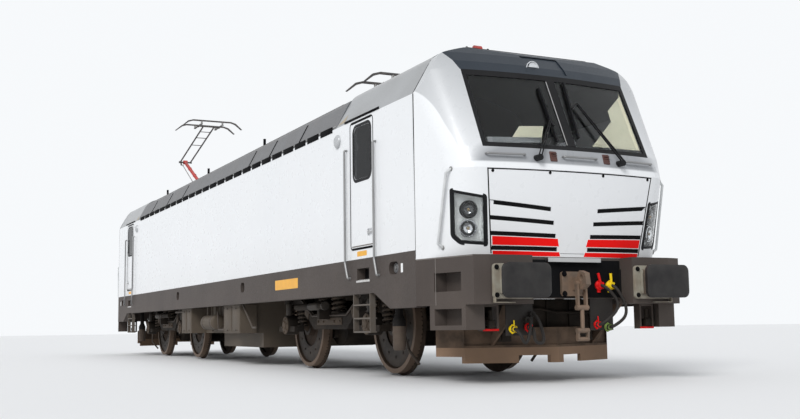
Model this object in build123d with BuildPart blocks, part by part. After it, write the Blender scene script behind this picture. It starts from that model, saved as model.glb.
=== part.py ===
from build123d import *
from math import atan, cos, pi, radians, sin
import os

# Four-axle electric locomotive in millimetres. +X is the leading end, +Y its
# left side, +Z up. The origin is under the middle, at the flanges' lowest point.
# Heights in the tables are above the rail tops.
os.makedirs("parts", exist_ok=True)

# Wheels and track
flange_depth = 28
wheel_radius = 625
back_to_back = 1360
rim_width = 135
axle_radius = 95
journal_radius = 65
journal_end = 1175
wheelbase = 3000
bogie_centres = 9500

# Body outline
half_width = 1506
sill_bottom = 980
sill_top = 1400
screen_head_height = 3360
side_top = screen_head_height - 244
wall = 60
seam_x = 8250
bulkhead_x = 6060
roof_joint_x = 3320
roof_deck_height = screen_head_height + 140
hatch_shoulder_y = 1330
hatch_shoulder_height = roof_deck_height - 50
shoulder_y = 1250
shoulder_height = roof_deck_height + 60
shoulder_radius = 250
roof_crest_height = roof_deck_height + 300
roof_skin = 50
joint_gap = 4

# Nose: a bowed face leans out to the brow, then the windscreen leans back
nose_floor = 1300
nose_foot_x = 8897
brow_x = 9054
brow_height = 2212
screen_foot_x = 8992
screen_foot_height = 2440
screen_head_x = 8556
cap_crest_height = roof_crest_height - 100
face_bow = 90
face_half_width = 1070
side_taper = 0.216

# Headstock, buffers and coupling
headstock_x = 9190
headstock_bottom = 800
console_inner_y = 636
buffer_face_x = 9490
buffer_y = 885
buffer_height = 1030

# Doors
door_x = 6850
door_width = 680
door_bottom = 1520
door_top = side_top - 26
door_gap = 10
door_thickness = 45
hinge_pin_radius = 7
knuckle_radius = 13
knuckle_height = 70
hinge_heights = [door_bottom + 280, door_top - 290]

# Pantographs
pan_pivot_height = roof_deck_height + 470
lower_arm = 1900
upper_arm = 2250
front_pan_x = 5200
rear_pan_x = -5950
front_lower_angle = 2.5
front_upper_angle = 0.8
rear_lower_angle = 26.5
rear_upper_angle = 13.6
head_half_width = 725
strip_spacing = 600


def up(height):
    """Height above the floor of a height above the rail tops."""
    return flange_depth + height


def finish(piece, name):
    """Label one sub-part and write its STEP file."""
    piece.label = name
    export_step(piece, f"parts/{name}.step")


def both_ends(shape):
    """The shape and its copy at the other end, as one part of separate solids."""
    with BuildPart() as pair:
        with PolarLocations(0, 2):
            add(shape)
    return pair.part


def taper_y(x):
    """Half width of the body side at a station ahead of the seam."""
    return half_width - side_taper * max(x - seam_x, 0)


# Long sills: dark band below the body side, deeper towards the ends
sill_depth = 130
slope_start_x = 7170
slope_end_x = 7600
cheek_bottom = 790
pocket_width = 350
pocket_x = 6865
pocket_low = 1145
pocket_high = 1285
pocket_depth = 110
# columns: x, height, width, tall
jack_recesses = [(2090, 1240, 200, 160), (-2160, 1240, 200, 160)]
socket_x = 7710
socket_height = 1240
socket_radius = 70
socket_length = 250

with BuildPart() as sills:
    with BuildSketch(Plane.XZ.offset(half_width - sill_depth)):
        with BuildLine():
            Polyline((-seam_x, up(sill_top)), (seam_x, up(sill_top)),
                     (seam_x, up(cheek_bottom)), (slope_end_x, up(cheek_bottom)),
                     (slope_start_x, up(sill_bottom)), (-slope_start_x, up(sill_bottom)),
                     (-slope_end_x, up(cheek_bottom)), (-seam_x, up(cheek_bottom)), close=True)
        make_face()
    extrude(amount=sill_depth)
    with BuildSketch(Plane.XZ.offset(half_width - pocket_depth)):
        with Locations(*[(s * pocket_x, up((pocket_low + pocket_high) / 2)) for s in (-1, 1)]):
            Rectangle(pocket_width, pocket_high - pocket_low)
        with Locations(*[(x, up(z)) for x, z, w, t in jack_recesses]):
            RectangleRounded(jack_recesses[0][2], jack_recesses[0][3], 60)
        with Locations(*[(s * socket_x, up(socket_height)) for s in (-1, 1)]):
            SlotOverall(socket_length, 2 * socket_radius)
    extrude(amount=pocket_depth, mode=Mode.SUBTRACT)
    mirror(about=Plane.XZ)
finish(sills.part, "sills")

# Floor frame between the sills, with bolsters and the bogie pivots
floor_thickness = 100
bolster_length = 900
bolster_drop = 150
pivot_radius = 120
pivot_bottom = 540
with BuildPart() as underframe:
    with BuildSketch(Plane.XY.offset(up(sill_top - floor_thickness))):
        Rectangle(2 * seam_x, 2 * (half_width - sill_depth))
        Rectangle(2 * (nose_foot_x - 140), 2 * (face_half_width - 60))
    extrude(amount=floor_thickness)
    with BuildSketch(Plane.XY.offset(up(sill_top - floor_thickness - bolster_drop))):
        with Locations((bogie_centres / 2, 0), (-bogie_centres / 2, 0)):
            Rectangle(bolster_length, 2 * (half_width - sill_depth))
    extrude(amount=bolster_drop)
    with BuildSketch(Plane.XY.offset(up(pivot_bottom))):
        with Locations((bogie_centres / 2, 0), (-bogie_centres / 2, 0)):
            Circle(pivot_radius)
    extrude(amount=sill_top - floor_thickness - pivot_bottom)
finish(underframe.part, "underframe")

# Headstock at each end: side cheeks, step columns with toe pockets, buffer consoles
column_start_x = 8473
column_foot_x = 9020
column_bottom = 545
column_width = 220
cheek_width = 90
beam_back_x = 8880
toe_low_x = 8547
toe_high_x = 8962
toe_depth = 150
chamfer_y = 1146
bracket_front_x = 8950
bracket_depth = 100
bracket_y = 1005
bracket_width = 190
bracket_low = 530
bracket_wall = 22
# columns: lower edge, upper edge
toe_pockets = [(940, 1135), (592, 761)]
with BuildPart() as headstock:
    with BuildSketch(Plane.XY.offset(up(headstock_bottom))):
        with BuildLine():
            Polyline((seam_x, -half_width), (headstock_x - 40, -taper_y(headstock_x - 40)),
                     (headstock_x, -chamfer_y), (headstock_x, -console_inner_y),
                     (beam_back_x, -console_inner_y),
                     (beam_back_x, -taper_y(beam_back_x) + column_width),
                     (column_start_x, -taper_y(column_start_x) + column_width),
                     (column_start_x, -taper_y(column_start_x) + cheek_width),
                     (seam_x, -half_width + cheek_width), close=True)
        make_face()
    extrude(amount=nose_floor - headstock_bottom)
    with BuildSketch(Plane.XY.offset(up(column_bottom))):
        with BuildLine():
            Polyline((column_start_x, -taper_y(column_start_x)), (column_foot_x, -taper_y(column_foot_x)),
                     (column_foot_x, -taper_y(column_foot_x) + column_width),
                     (column_start_x, -taper_y(column_start_x) + column_width), close=True)
        make_face()
    extrude(amount=headstock_bottom - column_bottom)
    for low, high in toe_pockets:
        with BuildSketch(Plane.XY.offset(up(low))):
            with BuildLine():
                Polyline((toe_low_x, -half_width), (toe_high_x, -half_width),
                         (toe_high_x, -taper_y(toe_high_x) + toe_depth),
                         (toe_low_x, -taper_y(toe_low_x) + toe_depth), close=True)
            make_face()
        extrude(amount=high - low, mode=Mode.SUBTRACT)
    with BuildSketch(Plane.YZ.offset(bracket_front_x - bracket_depth)):
        with Locations((-bracket_y, up((bracket_low + headstock_bottom) / 2))):
            Rectangle(bracket_width, headstock_bottom - bracket_low)
            Rectangle(bracket_width - 2 * bracket_wall, headstock_bottom - bracket_low - 2 * bracket_wall,
                      mode=Mode.SUBTRACT)
    extrude(amount=bracket_depth)
    mirror(about=Plane.XZ)
    with BuildSketch(Plane.XY.offset(up(headstock_bottom + 60))):
        with BuildLine():
            Polyline((beam_back_x, -console_inner_y), (beam_back_x + 100, -console_inner_y),
                     (beam_back_x + 100, console_inner_y), (beam_back_x, console_inner_y), close=True)
        make_face()
    extrude(amount=nose_floor - headstock_bottom - 60)
finish(both_ends(headstock.part), "headstocks")

# Body sides between the nose seams, with the doorways cut and the hinge lugs and pins inside
leaf_width = door_width - 2 * door_gap
hinge_x = door_x - leaf_width / 2
hinge_y = half_width - wall - knuckle_radius - 5
lug_thickness = 14
lug_gap = 5
side_names = {-1: "side_wall_right", 1: "side_wall_left"}
for side, name in side_names.items():
    with BuildPart() as side_wall:
        with BuildSketch(Plane.XZ.offset(-side * half_width)):
            with Locations((0, up((sill_top + side_top) / 2))):
                Rectangle(2 * seam_x, side_top - sill_top)
            with Locations(*[(s * door_x, up((door_bottom + door_top) / 2)) for s in (-1, 1)]):
                RectangleRounded(door_width, door_top - door_bottom, 60, mode=Mode.SUBTRACT)
        extrude(amount=side * wall)
        for height in hinge_heights:
            pin_low = up(height) - knuckle_height / 2 - lug_gap - lug_thickness
            with BuildSketch(Plane.XY.offset(pin_low)):
                for end in (-1, 1):
                    with Locations((end * (hinge_x - 35), side * (half_width - wall - 13))):
                        Rectangle(90, 26)
            extrude(amount=lug_thickness)
            with BuildSketch(Plane.XY.offset(pin_low + knuckle_height + 2 * lug_gap + lug_thickness)):
                for end in (-1, 1):
                    with Locations((end * (hinge_x - 35), side * (half_width - wall - 13))):
                        Rectangle(90, 26)
            extrude(amount=lug_thickness)
            with BuildSketch(Plane.XY.offset(pin_low)):
                with Locations((hinge_x, side * hinge_y), (-hinge_x, side * hinge_y)):
                    Circle(hinge_pin_radius)
            extrude(amount=knuckle_height + 2 * lug_gap + 2 * lug_thickness)
    finish(side_wall.part, name)


def body_block(x_low, x_high, inset=0, base=sill_top):
    """The body's full cross-section run between two stations, drawn in by the inset."""
    half = half_width - inset
    knee_y = shoulder_y - inset
    knee_z = up(shoulder_height) - inset
    with BuildPart() as block:
        with BuildSketch(Plane.YZ.offset(x_low)) as section:
            with BuildLine():
                ThreePointArc((-knee_y, knee_z), (0, up(roof_crest_height) - inset), (knee_y, knee_z))
                Polyline((knee_y, knee_z), (half, up(side_top)), (half, up(base)), (-half, up(base)),
                         (-half, up(side_top)), (-knee_y, knee_z))
            make_face()
            knees = section.vertices().filter_by_position(Axis.Y, knee_z - 1, knee_z + 1)
            fillet(knees, shoulder_radius - inset)
        extrude(amount=x_high - x_low)
    return block.part


def side_view_slab(points, arc_points):
    """A slab over the whole width whose side view is a polyline closed by an arc."""
    with BuildPart() as slab:
        with BuildSketch(Plane.XZ.offset(-half_width - 100)):
            with BuildLine():
                Polyline(*points)
                ThreePointArc(*arc_points)
            make_face()
        extrude(amount=2 * half_width + 200)
    return slab.part


# Roof over the machine room: three lift-off hatches with a flat deck
half_gap = joint_gap / 2


def roof_hatch(x_low, x_high):
    """One roof hatch: sloping sides and a flat deck, open below."""
    deck = up(roof_deck_height)
    deck_y = hatch_shoulder_y - 40
    shoulder = up(hatch_shoulder_height)
    with BuildPart() as shell:
        with BuildSketch(Plane.YZ.offset(x_low)):
            with BuildLine():
                Polyline((0, deck), (deck_y, deck), (hatch_shoulder_y, shoulder), (half_width, up(side_top)),
                         (half_width - wall, up(side_top)), (hatch_shoulder_y - roof_skin, shoulder - 20),
                         (deck_y - 20, deck - roof_skin), (0, deck - roof_skin), close=True)
            make_face()
            mirror(about=Plane.YZ)
        extrude(amount=x_high - x_low)
    return shell.part


finish(roof_hatch(-roof_joint_x + half_gap, roof_joint_x - half_gap), "roof_hatch_middle")
finish(both_ends(roof_hatch(roof_joint_x + half_gap, bulkhead_x - half_gap)), "roof_hatches_end")

# Cab roofs: the closed roof over each cab, sloping down to the nose
crown_x = 7700
crown = side_view_slab(
    [(crown_x, up(roof_crest_height)), (bulkhead_x - 200, up(roof_crest_height)),
     (bulkhead_x - 200, up(side_top)), (seam_x, up(side_top)), (seam_x, up(cap_crest_height))],
    [(seam_x, up(cap_crest_height)), ((crown_x + seam_x) / 2, up(roof_crest_height - 32)),
     (crown_x, up(roof_crest_height))])
with BuildPart() as cab_void:
    add(body_block(bulkhead_x - 10, seam_x + 10, wall))
    add(Pos(0, 0, -wall) * crown, mode=Mode.INTERSECT)
with BuildPart() as cab_roof:
    add(body_block(bulkhead_x + half_gap, seam_x - half_gap))
    add(crown, mode=Mode.INTERSECT)
    add(cab_void.part, mode=Mode.SUBTRACT)
finish(both_ends(cab_roof.part), "cab_roofs")

# Nose: horizontal sections joined by straight-ruled faces
# columns: height, face station at its corners, half width of the bowed face
nose_levels = [(nose_floor, nose_foot_x, 962), (brow_height, brow_x, 1073),
               (screen_foot_height, screen_foot_x, 1082), (screen_head_height, screen_head_x, 1082),
               (screen_head_height + 110, screen_head_x - 66, 1082),
               (screen_head_height + 230, screen_head_x - 169, 1082),
               (screen_head_height + 380, screen_head_x - 334, 1082)]
section_back_x = 7600
corner_sweep = pi / 2 - atan(side_taper)
nose_back_x = seam_x + half_gap
cap_mid_x = screen_head_x - 56
cap_mid_height = screen_head_height + 230
cap_tip_x = screen_head_x + 144
cap_tip_height = screen_head_height + 40


def line_y(x):
    """Half width of the nose's side, run on past the seam."""
    return half_width - side_taper * (x - seam_x)


def nose_form(inset):
    """Solid nose ahead of the seam, drawn in by the inset on every outer face."""
    back_x = nose_back_x - (20 if inset else 0)
    drop = 20 if inset else 0
    back_y = line_y(section_back_x) - inset / sin(corner_sweep)
    with BuildPart() as form:
        for height, face_x, half in nose_levels:
            bow_angle = 2 * atan(face_bow / half)
            reach = sin(corner_sweep) - sin(bow_angle) - side_taper * (cos(bow_angle) - cos(corner_sweep))
            corner = (line_y(face_x) - half) / reach
            centre_x = face_x - corner * cos(bow_angle)
            centre_y = half - corner * sin(bow_angle)
            start, mid, end = [(centre_x + (corner - inset) * cos(a), centre_y + (corner - inset) * sin(a))
                               for a in (bow_angle, (bow_angle + corner_sweep) / 2, corner_sweep)]
            with BuildSketch(Plane.XY.offset(up(height) - (drop if height == nose_floor else 0))):
                with BuildLine():
                    ThreePointArc((start[0], -start[1]), (face_x + face_bow - inset, 0), start)
                    ThreePointArc(start, mid, end)
                    Polyline(end, (section_back_x, back_y), (section_back_x, -back_y), (end[0], -end[1]))
                    ThreePointArc((end[0], -end[1]), (mid[0], -mid[1]), (start[0], -start[1]))
                make_face()
        loft(ruled=True)
        add(body_block(back_x, headstock_x, inset, nose_floor - 100), mode=Mode.INTERSECT)
        add(side_view_slab(
            [(cap_tip_x, up(cap_tip_height) - inset), (headstock_x, up(cap_tip_height) - inset),
             (headstock_x, up(nose_floor) - 100), (back_x, up(nose_floor) - 100),
             (back_x, up(cap_crest_height) - inset)],
            [(back_x, up(cap_crest_height) - inset), (cap_mid_x, up(cap_mid_height) - inset),
             (cap_tip_x, up(cap_tip_height) - inset)]),
            mode=Mode.INTERSECT)
    return form.part


def nose_layer(outer_inset, inner_inset, outline):
    """The part of the nose's skin between two insets, cut out by an outline's prism."""
    with BuildPart() as layer:
        add(nose_form(outer_inset))
        add(nose_form(inner_inset), mode=Mode.SUBTRACT)
        add(outline, mode=Mode.INTERSECT)
    return layer.part


nose_outer = nose_form(0)
nose_inner = nose_form(wall)

# Windscreen outline seen from the front, and the plane its wipers work in
screen_rise = screen_head_height - screen_foot_height
screen_run = screen_foot_x - screen_head_x
screen_middle = ((screen_foot_x + screen_head_x) / 2 + face_bow, 0,
                 up((screen_foot_height + screen_head_height) / 2))
screen_plane = Plane(origin=screen_middle, x_dir=(0, 1, 0), z_dir=(screen_rise, 0, screen_run))
screen_half = 1078
side_border = 50
foot_border = 50
head_border = 68
pillar_width = 100
frame_thickness = 30
pane_inset = 6
pane_thickness = 14
outline_back_x = nose_back_x
outline_length = 900


def front_prism(half_low, half_high, low, high, inner=0, margin=0):
    """A four-sided outline seen from the front, run along the nose; both sides where inner is set."""
    with BuildPart() as prism:
        with BuildSketch(Plane.YZ.offset(outline_back_x)):
            with BuildLine():
                Polyline((-half_low + margin if not inner else inner, up(low) + margin),
                         (half_low - margin, up(low) + margin), (half_high - margin, up(high) - margin),
                         (-half_high + margin if not inner else inner, up(high) - margin), close=True)
            make_face()
            if inner:
                mirror(about=Plane.YZ)
        extrude(amount=outline_length)
    return prism.part


screen_opening = front_prism(screen_half, screen_half, screen_foot_height, screen_head_height)
pane_half = screen_half - side_border
pane_prisms = front_prism(pane_half, pane_half, screen_foot_height + foot_border,
                          screen_head_height - head_border, inner=pillar_width / 2)

# Removable nose panel in a recess of the face
panel_gap = 5
panel_thickness = 45
panel_low_half = 960
panel_high_half = 1064
panel_low = nose_floor + 34
panel_high = brow_height - 10
panel_recess = nose_layer(0, panel_thickness,
                          front_prism(panel_low_half, panel_high_half, panel_low, panel_high))

# Headlamp units in the corner faces beside the panel
lamp_plane = Plane(origin=(8880, 1190, up(1700)), x_dir=(-0.507, 0.862, 0), z_dir=(0.862, 0.507, -0.147))
lamp_frame = 28
lamp_depth = 110
# columns: across (outwards), up
lamp_corners = [(-172, 224), (-172, -292), (105, -266), (186, -190), (186, 296)]
# columns: across, up, radius
round_lamps = [(5, 80, 78), (30, -118, 72)]


def lamp_prism(shrink, low, high):
    """The headlamp outline run along its normal between two depths."""
    with BuildPart() as prism:
        with BuildSketch(lamp_plane.offset(low)):
            with BuildLine():
                Polyline(*lamp_corners, close=True)
            make_face()
            if shrink:
                offset(amount=-shrink, kind=Kind.INTERSECTION)
        extrude(amount=high - low)
    return prism.part


# Cap outline seen from above
cap_rear_half = 1300
with BuildPart() as cap_block:
    with BuildSketch(Plane.XY.offset(up(screen_head_height))):
        with BuildLine():
            Polyline((seam_x - 50, cap_rear_half), (screen_head_x, screen_half + 8),
                     (headstock_x, screen_half + 8), (headstock_x, -screen_half - 8),
                     (screen_head_x, -screen_half - 8), (seam_x - 50, -cap_rear_half), close=True)
        make_face()
    extrude(amount=600)

with BuildPart() as nose:
    add(nose_outer)
    add(nose_inner, mode=Mode.SUBTRACT)
    add(screen_opening, mode=Mode.SUBTRACT)
    add(panel_recess, mode=Mode.SUBTRACT)
    add(lamp_prism(0, -150, 150), mode=Mode.SUBTRACT)
    add(mirror(lamp_prism(0, -150, 150), about=Plane.XZ, mode=Mode.PRIVATE), mode=Mode.SUBTRACT)
    add(cap_block.part, mode=Mode.SUBTRACT)
finish(nose.part, "cab_shell_front")
finish(Rot(0, 0, 180) * nose.part, "cab_shell_rear")

# Dark cap above the windscreen, with the top lamp beside the middle of a shallow recess
recess_depth = 12
recess_low = screen_head_height + 35
recess_high = screen_head_height + 255
top_lamp_y = -150
top_lamp_height = screen_head_height + 92
top_lamp_x = screen_head_x + 8
top_lamp_radius = 84
with BuildPart() as cap_recess:
    add(nose_outer)
    add(Pos(-recess_depth, 0, -recess_depth / 2) * nose_outer, mode=Mode.SUBTRACT)
    add(front_prism(275, 250, recess_low, recess_high), mode=Mode.INTERSECT)
with BuildPart() as cap:
    add(nose_outer)
    add(nose_inner, mode=Mode.SUBTRACT)
    add(cap_block.part, mode=Mode.INTERSECT)
    add(cap_recess.part, mode=Mode.SUBTRACT)
    with BuildSketch(Plane.YZ.offset(top_lamp_x - 90)):
        with Locations((top_lamp_y, up(top_lamp_height))):
            Circle(top_lamp_radius)
    extrude(amount=90)
finish(both_ends(cap.part), "cab_caps")

with BuildPart() as screen_frame:
    add(nose_layer(0, frame_thickness, screen_opening))
    add(pane_prisms, mode=Mode.SUBTRACT)
finish(both_ends(screen_frame.part), "windscreen_frames")
finish(both_ends(nose_layer(pane_inset, pane_inset + pane_thickness, pane_prisms)), "windscreens")

# columns: outer end from the middle, its height, inner end from the middle, its height
louvres = [(1018, 1884, 300, 1822), (998, 1724, 254, 1680), (976, 1563, 222, 1544), (956, 1412, 194, 1405)]
louvre_height = 46
louvre_depth = 12
with BuildPart() as louvre_prisms:
    with BuildSketch(Plane.YZ.offset(outline_back_x)):
        for outer_y, outer_height, inner_y, inner_height in louvres:
            with BuildLine():
                Polyline((outer_y, up(outer_height)), (inner_y, up(inner_height)),
                         (inner_y, up(inner_height) - louvre_height),
                         (outer_y, up(outer_height) - louvre_height), close=True)
            make_face()
        mirror(about=Plane.YZ)
    extrude(amount=outline_length)
with BuildPart() as nose_panel:
    add(nose_layer(0, panel_thickness,
                   front_prism(panel_low_half, panel_high_half, panel_low, panel_high, margin=panel_gap)))
    add(nose_layer(0, louvre_depth, louvre_prisms.part), mode=Mode.SUBTRACT)
finish(both_ends(nose_panel.part), "nose_panels")

with BuildPart() as headlamp:
    add(nose_outer)
    add(lamp_prism(0, -lamp_depth, 150), mode=Mode.INTERSECT)
    add(lamp_prism(lamp_frame, -lamp_depth + 20, 150), mode=Mode.SUBTRACT)
    for across, rise, radius in round_lamps:
        with BuildSketch(lamp_plane.offset(-lamp_depth + 20)):
            with Locations((across, rise)):
                Circle(radius)
                Circle(radius - 14, mode=Mode.SUBTRACT)
        extrude(amount=60)
        with BuildSketch(lamp_plane.offset(-lamp_depth + 20)):
            with Locations((across, rise)):
                Circle(radius - 14)
        extrude(amount=30)
    mirror(about=Plane.XZ)
finish(both_ends(headlamp.part), "headlamps")

# Buffers: bolted flange, box housing and a wide rounded plate
buffer_wide = 560
buffer_tall = 350
plate_thickness = 50
flange_thickness = 40
with BuildPart() as buffers:
    with BuildSketch(Plane.YZ.offset(headstock_x)):
        with Locations((-buffer_y, up(buffer_height)), (buffer_y, up(buffer_height))):
            RectangleRounded(480, 356, 40)
    extrude(amount=flange_thickness)
    with BuildSketch(Plane.YZ.offset(headstock_x + flange_thickness)):
        with Locations((-buffer_y, up(buffer_height)), (buffer_y, up(buffer_height))):
            RectangleRounded(320, 270, 25)
    extrude(amount=buffer_face_x - plate_thickness - headstock_x - flange_thickness)
    with BuildSketch(Plane.YZ.offset(buffer_face_x - plate_thickness)):
        with Locations((-buffer_y, up(buffer_height)), (buffer_y, up(buffer_height))):
            RectangleRounded(buffer_wide, buffer_tall, 70)
    extrude(amount=plate_thickness)
finish(both_ends(buffers.part), "buffers")

# Draw hook with its screw link hanging down
beam_front_x = beam_back_x + 100
pin_x = 9130
with BuildPart() as coupler:
    with BuildSketch(Plane.XZ.offset(-30)):
        with BuildLine():
            Polyline((beam_front_x, up(1080)), (pin_x - 40, up(1080)), (pin_x + 20, up(1150)),
                     (pin_x + 120, up(1120)), (pin_x + 140, up(1000)), (pin_x + 50, up(950)),
                     (beam_front_x, up(950)), close=True)
        make_face()
        with Locations((pin_x + 50, up(1075))):
            Circle(34, mode=Mode.SUBTRACT)
    extrude(amount=60)
    with BuildSketch(Plane.YZ.offset(beam_front_x)):
        with Locations((0, up(1015))):
            RectangleRounded(320, 260, 30)
    extrude(amount=40)
    with BuildSketch(Plane.XZ.offset(-70)):
        with Locations((pin_x, up(1015))):
            Circle(24)
    extrude(amount=140)
    for side in (-1, 1):
        with BuildSketch(Plane.XZ.offset(-side * 52 - 12)):
            with BuildLine():
                Polyline((pin_x - 25, up(1015)), (pin_x - 10, up(760)), (pin_x + 30, up(760)),
                         (pin_x + 25, up(1015)), close=True)
            make_face()
        extrude(amount=24)
    with BuildSketch(Plane.XZ.offset(-75)):
        with Locations((pin_x + 10, up(760))):
            Circle(28)
    extrude(amount=150)
    with BuildSketch(Plane.XY.offset(up(520))):
        with Locations((pin_x + 10, 0)):
            Circle(22)
    extrude(amount=240)
    with BuildSketch(Plane.XZ.offset(-75)):
        with Locations((pin_x + 10, up(520))):
            Circle(26)
    extrude(amount=150)
    for side in (-1, 1):
        with BuildSketch(Plane.XZ.offset(-side * 62 - 11)):
            with BuildLine():
                Polyline((pin_x - 12, up(530)), (pin_x - 10, up(430)), (pin_x + 26, up(430)),
                         (pin_x + 32, up(530)), close=True)
            make_face()
        extrude(amount=22)
    with BuildSketch(Plane.XZ.offset(-73)):
        with Locations((pin_x + 8, up(432))):
            Circle(22)
    extrude(amount=146)
finish(both_ends(coupler.part), "couplers")

# Brake hoses: each runs from a cock through a wide loop to a holder
hose_radius = 17
cock_radius = 32
cock_reach = 60
pipe_plate_x = 8985
pipe_plate_y = -690
pipe_plate_wide = 330
pipe_plate_low = 480
# columns: root station, cock side, cock height, loop side, loop height, holder side, holder height, bend
hoses = [(beam_front_x, 336, 1000, 545, 780, 290, 580, 42),
         (beam_front_x, 479, 1000, 645, 700, 430, 550, 42),
         (pipe_plate_x + 15, -790, 547, -700, 350, -620, 640, 30),
         (pipe_plate_x + 15, -600, 562, -510, 370, -560, 700, 24)]
with BuildPart() as hose_set:
    with BuildSketch(Plane.YZ.offset(pipe_plate_x)):
        with Locations((pipe_plate_y, up((pipe_plate_low + headstock_bottom) / 2))):
            Rectangle(pipe_plate_wide, headstock_bottom - pipe_plate_low)
    extrude(amount=15)
    with BuildSketch(Plane.YZ.offset(beam_front_x)):
        with Locations((360, up(690))):
            Rectangle(300, 340)
    extrude(amount=15)
    for root_x, cock_y, cock_z, loop_y, loop_z, hold_y, hold_z, bend in hoses:
        hose_x = root_x + cock_reach - 20
        with BuildSketch(Plane.YZ.offset(root_x)):
            with Locations((cock_y, up(cock_z)), (hold_y, up(hold_z))):
                Circle(cock_radius)
        extrude(amount=cock_reach)
        with BuildLine() as path:
            FilletPolyline((hose_x, cock_y, up(cock_z)), (hose_x + 90, cock_y, up(cock_z)),
                           (hose_x + 95, loop_y, up(loop_z)), (hose_x + 90, hold_y, up(hold_z)),
                           (hose_x, hold_y, up(hold_z)), radius=bend)
        with BuildSketch(Plane.YZ.offset(hose_x)):
            with Locations((cock_y, up(cock_z))):
                Circle(hose_radius)
        sweep(path=path.line)
finish(both_ends(hose_set.part), "brake_hoses")

# Ploughs: notched lower blade, thinner upper blade, side wings and two hanger plates
plough_apex_x = 8692
plough_half = 950
plough_sweep = 0.42
blade_depth = 60
plough_low = 180
plough_middle = 372
plough_high = 560
notch_inner_y = 85
notch_outer_y = 405
notch_height = 80
wing_end_x = 7900
wing_y = 1090
wing_low = 250
hanger_y = 660
# columns: lower edge, upper edge, set back
blades = [(plough_low, plough_middle, 0), (plough_middle, plough_high, 30)]
with BuildPart() as plough:
    for low, high, set_back in blades:
        front_x = plough_apex_x - set_back
        with BuildSketch(Plane.XY.offset(up(low))):
            with BuildLine():
                Polyline((front_x, 0), (front_x - plough_sweep * plough_half, plough_half),
                         (front_x - plough_sweep * plough_half - blade_depth, plough_half),
                         (front_x - blade_depth, 0), close=True)
            make_face()
            mirror(about=Plane.XZ)
        extrude(amount=high - low)
    wing_x = plough_apex_x - plough_sweep * plough_half
    with BuildSketch(Plane.XY.offset(up(wing_low))):
        with BuildLine():
            Polyline((wing_x, plough_half), (wing_end_x, wing_y), (wing_end_x, wing_y - 20),
                     (wing_x - blade_depth, plough_half - 12), (wing_x - blade_depth, plough_half),
                     close=True)
        make_face()
        mirror(about=Plane.XZ)
    extrude(amount=plough_high - wing_low)
    with BuildSketch(Plane.XY.offset(up(plough_low))):
        with Locations(*[(plough_apex_x - 100, s * (notch_inner_y + notch_outer_y) / 2) for s in (-1, 1)]):
            Rectangle(400, notch_outer_y - notch_inner_y)
    extrude(amount=notch_height, mode=Mode.SUBTRACT)
    for side in (-1, 1):
        with BuildSketch(Plane.XZ.offset(-side * hanger_y - 15)):
            with BuildLine():
                Polyline((8330, up(plough_middle)), (8650, up(headstock_bottom)),
                         (8960, up(headstock_bottom)), (8410, up(plough_middle)), close=True)
            make_face()
        extrude(amount=30)
finish(both_ends(plough.part), "ploughs")

# Wipers resting on the windscreen: boss, two arm rods, a link at their tip and the blade
# columns: pivot across, arm tip across and up, blade foot across and up, blade top across and up
wipers = [(-487, -205, -150, -184, -405, -199, 310), (589, 235, 110, 112, -345, 165, 425)]
wiper_pivot_up = -630
wiper_pivot_height = 2330
wiper_lift = 10
wiper_rod = 12
wiper_clearance = 0.3
with BuildPart() as wiper_set:
    for pivot, tip_y, tip_v, foot_y, foot_v, top_y, top_v in wipers:
        with BuildSketch(Plane.YZ.offset(brow_x - 60)):
            with Locations((pivot, up(wiper_pivot_height))):
                Circle(34)
        extrude(amount=185)
    add(nose_outer, mode=Mode.SUBTRACT)
    for pivot, tip_y, tip_v, foot_y, foot_v, top_y, top_v in wipers:
        link_v = tip_v - 60
        link_y = foot_y + (top_y - foot_y) * (link_v - foot_v) / (top_v - foot_v)
        with BuildSketch(screen_plane.offset(wiper_lift + 22)):
            for side in (-1, 1):
                root_y = pivot + side * 18
                end_y = tip_y + side * 10
                with BuildLine():
                    Polyline((root_y - wiper_rod / 2, wiper_pivot_up), (end_y - wiper_rod / 2, tip_v),
                             (end_y + wiper_rod / 2, tip_v), (root_y + wiper_rod / 2, wiper_pivot_up),
                             close=True)
                make_face()
            with BuildLine():
                Polyline((tip_y - 18, tip_v + 14), (tip_y + 18, tip_v + 14), (link_y + 14, link_v - 14),
                         (link_y - 14, link_v - 14), close=True)
            make_face()
        extrude(amount=16)
        with BuildSketch(screen_plane.offset(-15)):
            with BuildLine():
                Polyline((foot_y - 10, foot_v), (top_y - 10, top_v), (top_y + 10, top_v),
                         (foot_y + 10, foot_v), close=True)
            make_face()
        extrude(amount=wiper_lift + 37)
    add(nose_form(pane_inset - wiper_clearance), mode=Mode.SUBTRACT)
finish(both_ends(wiper_set.part), "wipers")

# Inside the cabs
with BuildPart() as bulkhead:
    add(body_block(bulkhead_x + half_gap, bulkhead_x + half_gap + 50, wall))
finish(both_ends(bulkhead.part), "bulkheads")

with BuildPart() as desk:
    with BuildSketch(Plane.XZ.offset(-1050)):
        with BuildLine():
            Polyline((8050, up(sill_top)), (8050, up(2020)), (8260, up(2180)), (8620, up(2240)),
                     (8700, up(2100)), (8640, up(sill_top)), close=True)
        make_face()
    extrude(amount=2100)
    with BuildSketch(Plane.XY.offset(up(sill_top))):
        with Locations((8160, 0)):
            Rectangle(220, 620)
    extrude(amount=640, mode=Mode.SUBTRACT)
finish(both_ends(desk.part), "driver_desks")

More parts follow.
